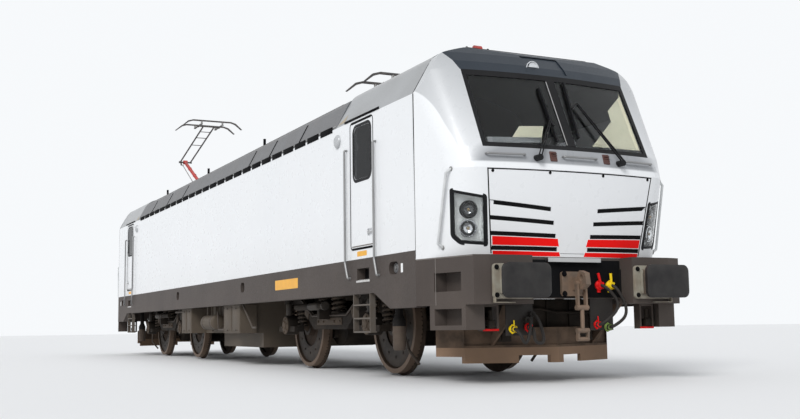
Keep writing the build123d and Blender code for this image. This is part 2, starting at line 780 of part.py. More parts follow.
with BuildPart() as seat:
    with BuildSketch(Plane.XY.offset(up(sill_top))):
        with Locations((7550, 0)):
            Circle(90)
    extrude(amount=420)
    with BuildSketch(Plane.XY.offset(up(sill_top + 420))):
        with Locations((7560, 0)):
            RectangleRounded(500, 520, 70)
    extrude(amount=110)
    with BuildSketch(Plane.XZ.offset(-250)):
        with BuildLine():
            Polyline((7330, up(sill_top + 500)), (7230, up(sill_top + 1250)), (7310, up(sill_top + 1270)),
                     (7430, up(sill_top + 530)), close=True)
        make_face()
    extrude(amount=500)
finish(both_ends(seat.part), "driver_seats")

converter_half = 5500
converter_width = 1500
with BuildPart() as converter:
    with BuildSketch(Plane.XY.offset(up(sill_top))):
        Rectangle(2 * converter_half, converter_width)
    extrude(amount=roof_deck_height - 400 - sill_top)
finish(converter.part, "converter_block")

# Under the floor between the bogies
tub_half_length = 1650
tub_half_width = 1140
tub_bottom = 510
with BuildPart() as transformer:
    with BuildSketch(Plane.XY.offset(up(tub_bottom))):
        Rectangle(2 * tub_half_length, 2 * tub_half_width)
    extrude(amount=sill_top - floor_thickness - tub_bottom)
    with BuildSketch(Plane.XY.offset(up(270))):
        with Locations((505, 0)):
            Rectangle(2270, 2000)
    extrude(amount=tub_bottom - 270)
finish(transformer.part, "transformer")

# columns: middle station, length
floor_boxes = [(-1775, 770), (1225, 950)]
box_low = 510
box_outer_y = 1420
with BuildPart() as boxes:
    with BuildSketch(Plane.XY.offset(up(box_low))):
        for middle, length in floor_boxes:
            for side in (-1, 1):
                with Locations((side * -middle, side * (tub_half_width + box_outer_y) / 2)):
                    Rectangle(length, box_outer_y - tub_half_width)
    extrude(amount=sill_bottom - box_low)
finish(boxes.part, "equipment_boxes")

tank_radius = 135
tank_y = 1290
tank_height = 705
with BuildPart() as tanks:
    with BuildSketch(Plane.YZ.offset(-750)):
        with Locations((-tank_y, up(tank_height))):
            Circle(tank_radius)
    extrude(amount=700)
    with BuildSketch(Plane.XY.offset(up(tank_height))):
        with Locations((-650, -tank_y), (-150, -tank_y)):
            Rectangle(50, 60)
    extrude(amount=sill_top - floor_thickness - tank_height)
finish(both_ends(tanks.part), "air_tanks")

# Post insulators, busbar and breaker on the deck
pan_frame_low = roof_deck_height + 330
pan_frame_high = pan_frame_low + 60
pan_frame_rear = -700
pan_frame_front = 250
pan_frame_y = 400
# columns: station, side position
pan_posts = [(-620, -400), (-620, 400), (-20, -400), (-20, 400)]
busbar_posts = [(-3900, 0), (-2400, 0), (-900, 0), (600, 0), (2100, 0), (3600, 0)]
busbar_height = roof_deck_height + 360
post_radius = 45
shed_radius = 80
pan_tops = [(front_pan_x + u, y) for u, y in pan_posts] + [(rear_pan_x - u, y) for u, y in pan_posts]
with BuildPart() as posts:
    for places, top in ((pan_tops, pan_frame_low), (busbar_posts, busbar_height)):
        with BuildSketch(Plane.XY.offset(up(roof_deck_height))):
            with Locations(*places):
                Circle(post_radius)
        extrude(amount=top - roof_deck_height)
        for rise in (60, 140, 220):
            with BuildSketch(Plane.XY.offset(up(roof_deck_height + rise))):
                with Locations(*places):
                    Circle(shed_radius)
            extrude(amount=20)
finish(posts.part, "roof_insulators")

with BuildPart() as busbar:
    with BuildSketch(Plane.YZ.offset(-4000)):
        with Locations((0, up(busbar_height + 20))):
            Circle(20)
    extrude(amount=7700)
    with BuildSketch(Plane.XY.offset(up(roof_deck_height))):
        with Locations((-1650, 650), (1350, -650)):
            RectangleRounded(620, 380, 40)
        with Locations((2850, 620)):
            Circle(150)
    extrude(amount=190)
finish(busbar.part, "roof_gear")

# Entry ladders below the doors
ladder_low = 520
ladder_half = 240
ladder_x = 6810
# heights of the treads
treads = [520, 680, 840]
with BuildPart() as ladder:
    for side in (-1, 1):
        with BuildSketch(Plane.XY.offset(up(ladder_low))):
            with Locations((ladder_x - ladder_half, side * 1470), (ladder_x + ladder_half, side * 1470)):
                Rectangle(16, 70)
        extrude(amount=sill_bottom - ladder_low)
        for height in treads:
            with BuildSketch(Plane.XY.offset(up(height))):
                with Locations((ladder_x, side * 1460)):
                    Rectangle(2 * ladder_half, 90)
            extrude(amount=18)
finish(both_ends(ladder.part), "entry_ladders")

# Handrails beside the doors and grab bars below the windscreen
rail_radius = 14
rail_y = 1545
# columns: station, top, foot station, foot height
door_rails = [(6410, 2770, 6490, 1180), (7270, 2750, 7340, 1180)]
# columns: first end across, its root station, other end across, its root station
grab_bars = [(-1060, 9012, -630, 9071), (-160, 9098, 265, 9097), (680, 9065, 1080, 9010)]
grab_reach = 46
grab_height = 2358
with BuildPart() as rails:
    for side in (-1, 1):
        for x, top, foot_x, foot in door_rails:
            with BuildLine() as path:
                FilletPolyline((x, side * half_width, up(top)), (x, side * rail_y, up(top)),
                               (x, side * rail_y, up(foot + 190)), (foot_x, side * rail_y, up(foot)),
                               (foot_x, side * half_width, up(foot)), radius=14)
            with BuildSketch(Plane.XZ.offset(-side * half_width)):
                with Locations((x, up(top))):
                    Circle(rail_radius)
            sweep(path=path.line)
    for first_y, first_x, last_y, last_x in grab_bars:
        with BuildLine() as path:
            FilletPolyline((first_x - 30, first_y, up(grab_height)),
                           (first_x + grab_reach, first_y, up(grab_height)),
                           (last_x + grab_reach, last_y, up(grab_height)),
                           (last_x - 30, last_y, up(grab_height)),
                           radius=22)
        with BuildSketch(Plane.YZ.offset(first_x - 30)):
            with Locations((first_y, up(grab_height))):
                Circle(12)
        sweep(path=path.line)
    add(nose_outer, mode=Mode.SUBTRACT)
finish(both_ends(rails.part), "handrails")

step_reach = 60
step_half = 340
with BuildPart() as nose_step:
    with BuildSketch(Plane.XY.offset(up(nose_floor - 55))):
        with Locations((beam_front_x + step_reach / 2, 0)):
            Rectangle(step_reach, 2 * step_half)
    extrude(amount=45)
finish(both_ends(nose_step.part), "nose_steps")

# Doors swing inwards on two hinges at the machine-room side
leaf_low = door_bottom + door_gap
leaf_high = door_top - door_gap
window_wide = 500
window_high = 640
window_height = 2690
door_handle_x = 7070
door_handle_height = 1700


def door_leaf(side):
    """A door leaf at the leading end, on the given side of the body."""
    with BuildPart() as leaf:
        with BuildSketch(Plane.XZ.offset(-side * half_width)):
            with Locations((door_x, up((leaf_low + leaf_high) / 2))):
                RectangleRounded(leaf_width, leaf_high - leaf_low, 60 - door_gap)
            with Locations((door_x + 15, up(window_height))):
                RectangleRounded(window_wide, window_high, 90, mode=Mode.SUBTRACT)
        extrude(amount=side * door_thickness)
        with BuildSketch(Plane.XZ.offset(-side * half_width)):
            with Locations((door_handle_x, up(door_handle_height))):
                RectangleRounded(150, 90, 20)
        extrude(amount=side * 22, mode=Mode.SUBTRACT)
        with BuildSketch(Plane.XZ.offset(-side * (half_width - 4))):
            with Locations((door_handle_x, up(door_handle_height))):
                SlotOverall(150, 26)
        extrude(amount=side * 20)
        for height in hinge_heights:
            with BuildSketch(Plane.XY.offset(up(height) - knuckle_height / 2)):
                with Locations((hinge_x, side * hinge_y)):
                    Circle(knuckle_radius)
                with Locations((hinge_x + 20, side * (hinge_y - knuckle_radius + 23))):
                    Rectangle(40, 46)
                with Locations((hinge_x, side * hinge_y)):
                    Circle(hinge_pin_radius + 0.05, mode=Mode.SUBTRACT)
            extrude(amount=knuckle_height)
    return leaf.part


for side, name in ((1, "left"), (-1, "right")):
    finish(door_leaf(side), f"door_front_{name}")
    finish(Rot(0, 0, 180) * door_leaf(-side), f"door_rear_{name}")

# Pantographs, drawn with the pivot at the origin and the knee forward
arm_radius = 40
arm_shaft_radius = 25
arm_shaft_half = 330
bearing_y = 290
knee_shaft_radius = 20
fork_y = 130
fork_radius = 18
head_shaft_radius = 15
head_bar_y = 248
strip_rise = 75
strip_half = 450
horn_drop = 170
lever_back = 40
lever_drop = 105
lowered_angle = 0.8
rod_y = 75
rod_radius = 12
rod_pivot_u = 200
rod_pivot_drop = 50
rod_pin_radius = 10
run_gap = 0.05


def cross_bar(u, z, radius, y_low, y_high):
    """A round bar across the body at a point of the side view."""
    with BuildPart() as bar:
        with BuildSketch(Plane.XZ.offset(-y_high)):
            with Locations((u, z)):
                Circle(radius)
        extrude(amount=y_high - y_low)
    return bar.part


def side_bar(start, end, y, radius):
    """A round bar between two points of the side view at one side position."""
    with BuildPart() as bar:
        run = Plane(origin=(start[0], y, start[1]), z_dir=(end[0] - start[0], 0, end[1] - start[1]))
        with BuildSketch(run):
            Circle(radius)
        extrude(amount=((end[0] - start[0]) ** 2 + (end[1] - start[1]) ** 2) ** 0.5)
    return bar.part


def pantograph(lower_angle, upper_angle):
    """The four moving pieces of one pantograph at a pair of arm angles."""
    pivot = (0, up(pan_pivot_height))
    knee = (lower_arm * cos(radians(lower_angle)), pivot[1] + lower_arm * sin(radians(lower_angle)))
    back = (-cos(radians(upper_angle)), sin(radians(upper_angle)))
    top = (knee[0] + upper_arm * back[0], knee[1] + upper_arm * back[1])
    lean = radians(upper_angle - lowered_angle)
    lever = (knee[0] - lever_back * cos(lean) - lever_drop * sin(lean),
             knee[1] + lever_back * sin(lean) - lever_drop * cos(lean))
    with BuildPart() as lower:
        add(side_bar(pivot, knee, 0, arm_radius))
        add(cross_bar(*pivot, arm_shaft_radius, -arm_shaft_half, arm_shaft_half))
        add(cross_bar(*pivot, 60, -50, 50))
        add(cross_bar(*knee, 52, -50, 50))
        add(cross_bar(*knee, knee_shaft_radius + run_gap, -60, 60), mode=Mode.SUBTRACT)
    with BuildPart() as upper:
        add(cross_bar(*knee, knee_shaft_radius, -fork_y - 20, fork_y + 20))
        add(cross_bar(*top, head_shaft_radius, -head_bar_y - 30, head_bar_y + 30))
        for y in (-fork_y, fork_y):
            add(side_bar(knee, top, y, fork_radius))
        with BuildSketch(Plane.XZ.offset(-fork_y)):
            with BuildLine():
                Polyline((knee[0] + 24, knee[1]), (lever[0] + 18, lever[1]), (lever[0] - 18, lever[1]),
                         (knee[0] - 24, knee[1]), close=True)
            make_face()
        extrude(amount=30)
    with BuildPart() as head:
        for y in (-head_bar_y, head_bar_y):
            with BuildSketch(Plane.XZ.offset(-y - 14)):
                with Locations(top):
                    Rectangle(strip_spacing, 28)
                    Circle(30)
                for end in (-1, 1):
                    with Locations((top[0] + end * strip_spacing / 2, top[1] + strip_rise / 2)):
                        Rectangle(30, strip_rise)
                with Locations(top):
                    Circle(head_shaft_radius + run_gap, mode=Mode.SUBTRACT)
            extrude(amount=28)
        for end in (-1, 1):
            u = top[0] + end * strip_spacing / 2
            with BuildSketch(Plane.YZ.offset(u - 20)):
                with BuildLine():
                    crest = top[1] + strip_rise + 15
                    Polyline((0, crest), (strip_half, crest), (strip_half + 120, crest - 35),
                             (head_half_width, crest - horn_drop),
                             (head_half_width - 24, crest - horn_drop - 8),
                             (strip_half + 100, crest - 62), (strip_half, crest - 30),
                             (0, crest - 30), close=True)
                make_face()
                mirror(about=Plane.YZ)
            extrude(amount=40)
    with BuildPart() as rod:
        foot = (rod_pivot_u, pivot[1] - rod_pivot_drop)
        run = ((lever[0] - foot[0]) ** 2 + (lever[1] - foot[1]) ** 2) ** 0.5
        start = (foot[0] + (lever[0] - foot[0]) * 17 / run, foot[1] + (lever[1] - foot[1]) * 17 / run)
        add(side_bar(start, lever, rod_y, rod_radius - 2))
        add(cross_bar(*foot, 24, rod_y - rod_radius, rod_y + rod_radius))
        add(cross_bar(*lever, 20, rod_y - rod_radius, rod_y + rod_radius))
        add(cross_bar(*foot, rod_pin_radius + run_gap, rod_y - 20, rod_y + 20), mode=Mode.SUBTRACT)
    return {"lower_arm": lower.part, "upper_arm": upper.part, "head": head.part, "rod": rod.part}


# columns: name, station, turn, lower arm angle, upper arm angle
pans = [("front", front_pan_x, 0, front_lower_angle, front_upper_angle),
        ("rear", rear_pan_x, 180, rear_lower_angle, rear_upper_angle)]
for name, x, turn, low_angle, high_angle in pans:
    for piece, shape in pantograph(low_angle, high_angle).items():
        finish(Pos(x, 0, 0) * Rot(0, 0, turn) * shape, f"pantograph_{piece}_{name}")

# Base frames on the insulators, with the arm bearings and the rod lugs
with BuildPart() as pan_frame:
    with BuildSketch(Plane.XY.offset(up(pan_frame_low))):
        for y in (-pan_frame_y, pan_frame_y):
            with Locations(((pan_frame_rear + pan_frame_front) / 2, y)):
                Rectangle(pan_frame_front - pan_frame_rear, 60)
        for u in (pan_frame_rear + 60, 0, pan_frame_front - 30):
            with Locations((u, 0)):
                Rectangle(60, 2 * pan_frame_y)
    extrude(amount=pan_frame_high - pan_frame_low)
    for y in (-bearing_y, bearing_y):
        with BuildSketch(Plane.XZ.offset(-y - 20)):
            with Locations((0, up((pan_frame_high + pan_pivot_height) / 2))):
                Rectangle(80, pan_pivot_height - pan_frame_high)
            with Locations((0, up(pan_pivot_height))):
                Circle(40)
                Circle(arm_shaft_radius + run_gap, mode=Mode.SUBTRACT)
        extrude(amount=40)
    with BuildSketch(Plane.XZ.offset(-rod_y - 32)):
        with Locations((rod_pivot_u, up(pan_pivot_height - rod_pivot_drop))):
            Circle(20)
        with Locations((rod_pivot_u, up((pan_frame_high + pan_pivot_height - rod_pivot_drop) / 2 - 10))):
            Rectangle(40, pan_pivot_height - rod_pivot_drop - pan_frame_high + 20)
    extrude(amount=15)
    with BuildSketch(Plane.XZ.offset(-rod_y - 20)):
        with Locations((rod_pivot_u, up(pan_pivot_height - rod_pivot_drop))):
            Circle(rod_pin_radius)
    extrude(amount=36)
with BuildPart() as pan_frames:
    for name, x, turn, low_angle, high_angle in pans:
        add(Pos(x, 0, 0) * Rot(0, 0, turn) * pan_frame.part)
finish(pan_frames.part, "pantograph_bases")

# Wheelsets: two wheels and the axle turned as one body
wheel_outline = [(0, 0), (0, axle_radius), (640, axle_radius), (640, 145), (725, 165), (725, 555),
                 (back_to_back / 2, 560), (back_to_back / 2, wheel_radius + flange_depth - 4),
                 (back_to_back / 2 + 12, wheel_radius + flange_depth),
                 (back_to_back / 2 + 28, wheel_radius + 22),
                 (back_to_back / 2 + 40, wheel_radius + 1), (back_to_back / 2 + rim_width, wheel_radius - 4),
                 (back_to_back / 2 + rim_width, 560), (762, 550), (762, 165), (830, 145), (830, axle_radius),
                 (900, journal_radius), (journal_end, journal_radius), (journal_end, 0)]
with BuildPart() as wheelset:
    with BuildSketch(Plane(origin=(0, 0, up(wheel_radius)), x_dir=(0, 1, 0), z_dir=(1, 0, 0))):
        with BuildLine():
            Polyline(*wheel_outline, close=True)
        make_face()
    revolve(axis=Axis((0, 0, up(wheel_radius)), (0, 1, 0)))
    mirror(about=Plane.XZ)
for bogie, centre in (("front", bogie_centres / 2), ("rear", -bogie_centres / 2)):
    for place, shift in (("outer", wheelbase / 2), ("inner", -wheelbase / 2)):
        step = shift if bogie == "front" else -shift
        finish(Pos(centre + step, 0, 0) * wheelset.part, f"wheelset_{bogie}_{place}")

# Bogie frame: cranked side beams, a deep middle beam around the body's pivot
beam_inner_y = 920
beam_outer_y = 1080
axle_x = wheelbase / 2
pivot_clearance = 0.08
with BuildPart() as bogie_frame:
    with BuildSketch(Plane.XZ.offset(-beam_outer_y)):
        with BuildLine():
            Polyline((0, up(780)), (600, up(780)), (1150, up(1060)), (1850, up(1060)), (1850, up(940)),
                     (1150, up(940)), (600, up(560)), (0, up(560)), close=True)
        make_face()
        mirror(about=Plane.YZ)
    extrude(amount=beam_outer_y - beam_inner_y)
    mirror(about=Plane.XZ)
    with BuildSketch(Plane.XY.offset(up(560))):
        Rectangle(760, 2 * beam_inner_y)
    extrude(amount=200)
    with BuildSketch(Plane.XY.offset(up(560))):
        Circle(pivot_radius + pivot_clearance)
    extrude(amount=200, mode=Mode.SUBTRACT)

# Axleboxes with spring seats on both sides of the journal housing
box_inner_y = 1010
box_cover_y = 1190
spring_reach = 245
spring_radius = 82
seat_height = 610
with BuildPart() as axlebox:
    with BuildSketch(Plane.XZ.offset(-box_cover_y)):
        with Locations((0, up(wheel_radius))):
            Circle(140)
    extrude(amount=box_cover_y - box_inner_y)
    with BuildSketch(Plane.XZ.offset(-box_cover_y + 20)):
        with Locations((0, up(seat_height - 40))):
            Rectangle(2 * (spring_reach + 90), 80)
    extrude(amount=box_cover_y - box_inner_y - 30)
    with BuildSketch(Plane.XZ.offset(-journal_end - 5)):
        with Locations((0, up(wheel_radius))):
            Circle(journal_radius + 0.1)
    extrude(amount=journal_end + 5 - box_inner_y, mode=Mode.SUBTRACT)
    mirror(about=Plane.XZ)
with BuildPart() as axleboxes:
    with Locations((axle_x, 0), (-axle_x, 0)):
        add(axlebox.part)

with BuildPart() as springs:
    with BuildSketch(Plane.XY.offset(up(seat_height))):
        for x in (-axle_x, axle_x):
            for reach in (-spring_reach, spring_reach):
                for y in (-1, 1):
                    with Locations((x + reach, y * (beam_outer_y - spring_radius + 5))):
                        Circle(spring_radius)
    extrude(amount=940 - seat_height)
    with BuildSketch(Plane.XY.offset(up(780))):
        for x in (-230, 230):
            for y in (-1, 1):
                with Locations((x, y * 1035)):
                    Circle(105)
    extrude(amount=sill_top - floor_thickness - bolster_drop - 5 - 780)

# Dampers: one yaw damper and four axlebox dampers, each held by the frame
with BuildPart() as dampers:
    for side in (-1, 1):
        with BuildSketch(Plane.YZ.offset(-850)):
            with Locations((side * 1250, up(880))):
                Circle(45)
        extrude(amount=1100)
        with BuildSketch(Plane.YZ.offset(-40)):
            with Locations((side * (beam_outer_y + 1250) / 2, up(800))):
                Rectangle(1250 - beam_outer_y, 200)
        extrude(amount=80)
        for x in (-axle_x, axle_x):
            with BuildSketch(Plane.XY.offset(up(wheel_radius + 140))):
                with Locations((x, side * 1130)):
                    Circle(38)
            extrude(amount=340)
            with BuildSketch(Plane.XY.offset(up(970))):
                with Locations((x, side * 1115)):
                    Rectangle(90, 70)
            extrude(amount=60)

# Motors with their gear housings around the axles
motor_reach = 620
with BuildPart() as motor:
    with BuildSketch(Plane.XZ.offset(-560)):
        with Locations((axle_x - motor_reach, up(650))):
            Circle(330)
    extrude(amount=1120)
    with BuildSketch(Plane.XY.offset(up(600))):
        with Locations((470, 0)):
            Rectangle(180, 700)
    extrude(amount=140)
    with BuildSketch(Plane.XZ.offset(-640)):
        with Locations(((axle_x - motor_reach + axle_x + 200) / 2, up(640))):
            RectangleRounded(motor_reach + 200, 420, 80)
        with Locations((axle_x, up(wheel_radius))):
            Circle(axle_radius + 8, mode=Mode.SUBTRACT)
    extrude(amount=80)
with BuildPart() as motors:
    with PolarLocations(0, 2):
        add(motor.part)

for name, centre, turn in (("front", bogie_centres / 2, 0), ("rear", -bogie_centres / 2, 180)):
    for piece, shape in (("frame", bogie_frame), ("axleboxes", axleboxes), ("springs", springs),
                         ("dampers", dampers), ("motors", motors)):
        finish(Pos(centre, 0, 0) * Rot(0, 0, turn) * shape.part, f"bogie_{piece}_{name}")
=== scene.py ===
"""Looks of a four-axle electric locomotive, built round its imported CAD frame."""

import logging
from collections.abc import Iterable
from dataclasses import dataclass, replace
from enum import Enum
from functools import cache
from math import cos, pi, radians, sin

import bmesh
import bpy
from mathutils import Matrix, Vector
from mathutils.bvhtree import BVHTree


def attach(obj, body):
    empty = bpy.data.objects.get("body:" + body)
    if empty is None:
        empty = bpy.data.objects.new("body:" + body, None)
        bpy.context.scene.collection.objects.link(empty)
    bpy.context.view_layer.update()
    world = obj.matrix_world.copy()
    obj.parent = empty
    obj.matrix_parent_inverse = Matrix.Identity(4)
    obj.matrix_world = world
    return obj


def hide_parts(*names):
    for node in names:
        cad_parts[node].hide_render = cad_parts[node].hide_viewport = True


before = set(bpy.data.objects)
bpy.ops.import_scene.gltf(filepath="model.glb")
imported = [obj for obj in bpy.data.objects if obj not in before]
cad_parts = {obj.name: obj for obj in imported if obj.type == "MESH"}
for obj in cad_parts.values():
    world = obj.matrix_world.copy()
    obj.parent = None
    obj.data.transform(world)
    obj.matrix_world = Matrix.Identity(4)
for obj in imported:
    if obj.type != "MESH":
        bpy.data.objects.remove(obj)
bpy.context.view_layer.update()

LOG = logging.getLogger("locomotive")
Colour = tuple[float, float, float]
Point = tuple[float, float, float]
Pair = tuple[float, float]
Socket = bpy.types.NodeSocket
Value = Socket | float | tuple
Bm = bmesh.types.BMesh
BmVert = bmesh.types.BMVert
BmFace = bmesh.types.BMFace
AHEAD: Point = (1.0, 0.0, 0.0)
RIGHT: Point = (0.0, -1.0, 0.0)
LEFT: Point = (0.0, 1.0, 0.0)
UP: Point = (0.0, 0.0, 1.0)
FLANGE = 0.028
HALF_WIDTH = 1.506
SMOOTH_ANGLE = radians(38)
COAT_ROUGHNESS = 0.08
BUMP_DISTANCE = 0.004
ZONE_EDGE = 0.001
RAY_START = 20.0
SIDE_STEP = 0.02
EDGE_STEPS = 2
CORNER_STEPS = 6
COIL_STEPS = 20
STUFFING_POWER = 7
STUFFING_CROWN = 0.26
CHANNEL_DEPTH = 0.10
CHANNEL_WIDTH = 0.045
CHANNEL_BASE = 2.718
DRAWN_IN = 0.035
SEAM_LEVEL = 0.62
SEAM_RADIUS = 0.0045
SEAM_STEPS = 12
CROWN_STEPS: tuple[Pair, ...] = ((0.012, 0.5), (0.014, 0.25), (0.016, 0.15), (0.018, 0.1))
WELD = 1e-6
ON_PLANE = 1e-5
# Silver paint above the cab shell's crease; low on the pillar it also stands in as painted shade and sky
# reflection.
CREASE_SILVER_AND_SHADE: Colour = (0.36, 0.37, 0.38)
# Painted grey shade on the ledge between the nose panel and the windscreen.
LEDGE_PAINTED_SHADE: Colour = (0.32, 0.33, 0.345)
CREASE_TOP = 3.55


def above_rail(height: float) -> float:
    """Height above the floor, in metres, of a height above the rail tops."""
    return height + FLANGE


def add_object(name: str, data: bpy.types.ID) -> bpy.types.Object:
    """Adds an object to the scene.

    Args:
        name: Its name.
        data: Its mesh, curve, lamp or camera.
    Returns:
        The object.
    """
    piece = bpy.data.objects.new(name, data)
    bpy.context.scene.collection.objects.link(piece)
    return piece


def fill(tree: bpy.types.NodeTree, node: bpy.types.Node, inputs: dict[str | int, Value]) -> None:
    """Links each input of a node to a socket, or sets it to a constant.

    Args:
        tree: The node tree.
        node: The node.
        inputs: A socket or a constant for each input.
    """
    for name, value in inputs.items():
        if isinstance(value, Socket):
            tree.links.new(value, node.inputs[name])
        else:
            node.inputs[name].default_value = value


def add_node(tree: bpy.types.NodeTree, kind: str, inputs: dict[str | int, Value],
             **settings: str) -> bpy.types.Node:
    """Adds a node.

    Args:
        tree: The node tree.
        kind: The node's type, without its prefix.
        inputs: A socket or a constant for each input.
        settings: The node's own settings.
    Returns:
        The node.
    """
    node = tree.nodes.new(f"ShaderNode{kind}")
    for name, value in settings.items():
        setattr(node, name, value)
    fill(tree, node, inputs)
    return node


class Nodes:
    """A new material's node tree, on the object's own coordinates."""

    def __init__(self, name: str) -> None:
        """A new material of that name."""
        self.material = bpy.data.materials.new(name)
        self.material.use_nodes = True
        self.tree = self.material.node_tree
        self.coords = self.add("TexCoord", {}, "Object")

    def add(self, kind: str, inputs: dict[str | int, Value], output: str, **settings: str) -> Socket:
        """Adds a node and gives one of its outputs."""
        return add_node(self.tree, kind, inputs, **settings).outputs[output]

    def shade(self, inputs: dict[str | int, Value]) -> None:
        """Links or sets the inputs of the material's shader."""
        fill(self.tree, self.tree.nodes["Principled BSDF"], inputs)

    def noise(self, scale: float, detail: float, stretch: Point = (1, 1, 1)) -> Socket:
        """Noise of a size per metre, with octaves of detail, stretched along X, Y and Z."""
        place = self.add("Mapping", {"Vector": self.coords, "Scale": stretch}, "Vector")
        return self.add("TexNoise", {"Vector": place, "Scale": scale, "Detail": detail}, "Fac")

    def spread(self, value: Socket, low: float, high: float, to_low: float = 0.0,
               to_high: float = 1.0) -> Socket:
        """A value's range from low to high, stretched to another range."""
        ranges = {"From Min": low, "From Max": high, "To Min": to_low, "To Max": to_high}
        return self.add("MapRange", {"Value": value, **ranges}, "Result")

    def mix(self, factor: Socket, first: Socket | Colour, second: Colour) -> Socket:
        """Two colours mixed, with the factor as the second one's share."""
        start = (*first, 1) if isinstance(first, tuple) else first
        return self.add("Mix", {"Factor": factor, "A": start, "B": (*second, 1)}, "Result", data_type="RGBA")

    def math(self, operation: str, *values: Value) -> Socket:
        """A sum on one or two values."""
        return self.add("Math", dict(enumerate(values)), "Value", operation=operation)

    def part(self, vector: Socket, axis: str) -> Socket:
        """A vector's value along X, Y or Z."""
        return self.add("SeparateXYZ", {"Vector": vector}, axis)

    def along(self, axis: str) -> Socket:
        """Distance from the middle along an axis, the same on both sides."""
        return self.math("ABSOLUTE", self.part(self.coords, axis))


class Grime(Enum):
    """Where dust gathers on a finish."""

    NONE = "none"
    LOW = "low"
    TOP = "top"
    ALL = "all"


@dataclass(frozen=True)
class Zone:
    """A stretch of one axis, the same at both ends and on both sides, that has another colour."""

    axis: str
    low: float
    high: float
    colour: Colour


@dataclass(frozen=True)
class Finish:
    """A paint, metal, rubber or plastic surface with its own wear, and on the cab shell some painted shade.
    """

    name: str
    base: Colour
    second: Colour
    roughness: float
    metallic: float = 0.0
    patch_scale: float = 1.5
    grain_scale: float = 60.0
    bump: float = 0.08
    coat: float = 0.0
    shine: float = 0.5
    grime: Grime = Grime.NONE
    dust: Colour = (0.16, 0.12, 0.085)
    dust_low: float = 0.2
    dust_high: float = 1.6
    dust_amount: float = 0.5
    streak: float = 0.0
    zones: tuple[Zone, ...] = ()
    # Crease line of the cab shell's silver paint and its painted shade; ledge is where the painted ledge
    # shade starts.
    silver_shade_crease: tuple[Pair, ...] = ()
    ledge: Pair = (8.965, 2.295)

    @cache
    def material(self) -> bpy.types.Material:
        """The node material of this finish, made once.

        Returns:
            The material, with colour, roughness and bump from noise.
        """
        nodes = Nodes(self.name)
        patch = nodes.noise(self.patch_scale, 5.0)
        grain = nodes.noise(self.grain_scale, 3.0)
        colour = nodes.mix(nodes.spread(patch, 0.35, 0.7), self.base, self.second)
        for zone in self.zones:
            colour = self._zoned(nodes, zone, colour)
        if self.silver_shade_crease:
            colour = self._silver_and_painted_shade(nodes, colour)
        if self.streak > 0:
            runs = nodes.noise(1.0, 4.0, (7.0, 7.0, 0.35))
            colour = nodes.mix(nodes.math("MULTIPLY", nodes.spread(runs, 0.52, 0.75), self.streak), colour,
                               self.dust)
        if self.grime is not Grime.NONE:
            colour = self._dusted(nodes, patch, colour)
        rough = nodes.spread(grain, 0.3, 0.7, self.roughness * 0.85, min(1.0, self.roughness * 1.2))
        bump = nodes.add("Bump", {"Strength": self.bump, "Distance": BUMP_DISTANCE, "Height": grain},
                         "Normal")
        nodes.shade({"Base Color": colour, "Roughness": rough, "Normal": bump, "Metallic": self.metallic,
                     "Coat Weight": self.coat, "Coat Roughness": COAT_ROUGHNESS,
                     "Specular IOR Level": self.shine})
        return nodes.material

    def _zoned(self, nodes: Nodes, zone: Zone, colour: Socket) -> Socket:
        """Another colour over one stretch.

        Args:
            nodes: The material's nodes.
            zone: The stretch and its colour.
            colour: The colour so far.
        Returns:
            The colour's socket.
        """
        along = nodes.along(zone.axis)
        start = nodes.spread(along, zone.low - ZONE_EDGE, zone.low + ZONE_EDGE)
        end = nodes.spread(along, zone.high - ZONE_EDGE, zone.high + ZONE_EDGE, 1.0, 0.0)
        return nodes.mix(nodes.math("MULTIPLY", start, end), colour, zone.colour)

    def _silver_and_painted_shade(self, nodes: Nodes, colour: Socket) -> Socket:
        """Silver paint that fades downwards above a crease, its lower share a painted shade and sky
        reflection, and a painted grey shade over the ledge ahead of it.

        Args:
            nodes: The material's nodes.
            colour: The colour so far.
        Returns:
            The colour's socket.
        """
        along, height = nodes.along("X"), nodes.along("Z")
        (first, high), (last, low) = self.silver_shade_crease[0], self.silver_shade_crease[-1]
        line = add_node(nodes.tree, "FloatCurve", {"Value": nodes.spread(along, first, last)})
        points = line.mapping.curves[0].points
        for station, level in self.silver_shade_crease[1:-1]:
            points.new((station - first) / (last - first), (level - low) / (high - low))
        points[0].location = (0.0, 1.0)
        points[len(points) - 1].location = (1.0, 0.0)
        line.mapping.update()
        crease = nodes.spread(line.outputs["Value"], 0.0, 1.0, low, high)
        edge = nodes.spread(nodes.math("SUBTRACT", height, crease), -0.004, 0.012)
        # The floor of this fade keeps the low pillar grey: a painted shade and sky reflection over the silver
        # paint.
        fade_and_shade = nodes.spread(height, low, CREASE_TOP, 0.22, 0.85)
        silver_and_shade = nodes.mix(nodes.math("MULTIPLY", edge, fade_and_shade), colour, CREASE_SILVER_AND_SHADE)
        # Painted shade: grey over the ledge ahead of the given station and above the given height.
        ahead = nodes.spread(along, self.ledge[0], self.ledge[0] + 0.06)
        over = nodes.spread(height, self.ledge[1], self.ledge[1] + 0.02)
        return nodes.mix(nodes.math("MULTIPLY", ahead, over), silver_and_shade, LEDGE_PAINTED_SHADE)

    def _dusted(self, nodes: Nodes, patch: Socket, colour: Socket) -> Socket:
        """Dust over the colour: near the ground, on upward faces, or all over.

        Args:
            nodes: The material's nodes.
            patch: The large noise.
            colour: The colour so far.
        Returns:
            The dusted colour's socket.
        """
        cloud = nodes.spread(patch, 0.3, 0.65, 0.35, 1.0)
        if self.grime is Grime.LOW:
            fall = nodes.spread(nodes.part(nodes.coords, "Z"), self.dust_low, self.dust_high, 1.0, 0.0)
            cloud = nodes.math("MULTIPLY", cloud, fall)
        elif self.grime is Grime.TOP:
            upward = nodes.part(nodes.add("NewGeometry", {}, "Normal"), "Z")
            cloud = nodes.math("MULTIPLY", cloud, nodes.spread(upward, 0.2, 0.9))
        return nodes.mix(nodes.math("MULTIPLY", cloud, self.dust_amount), colour, self.dust)


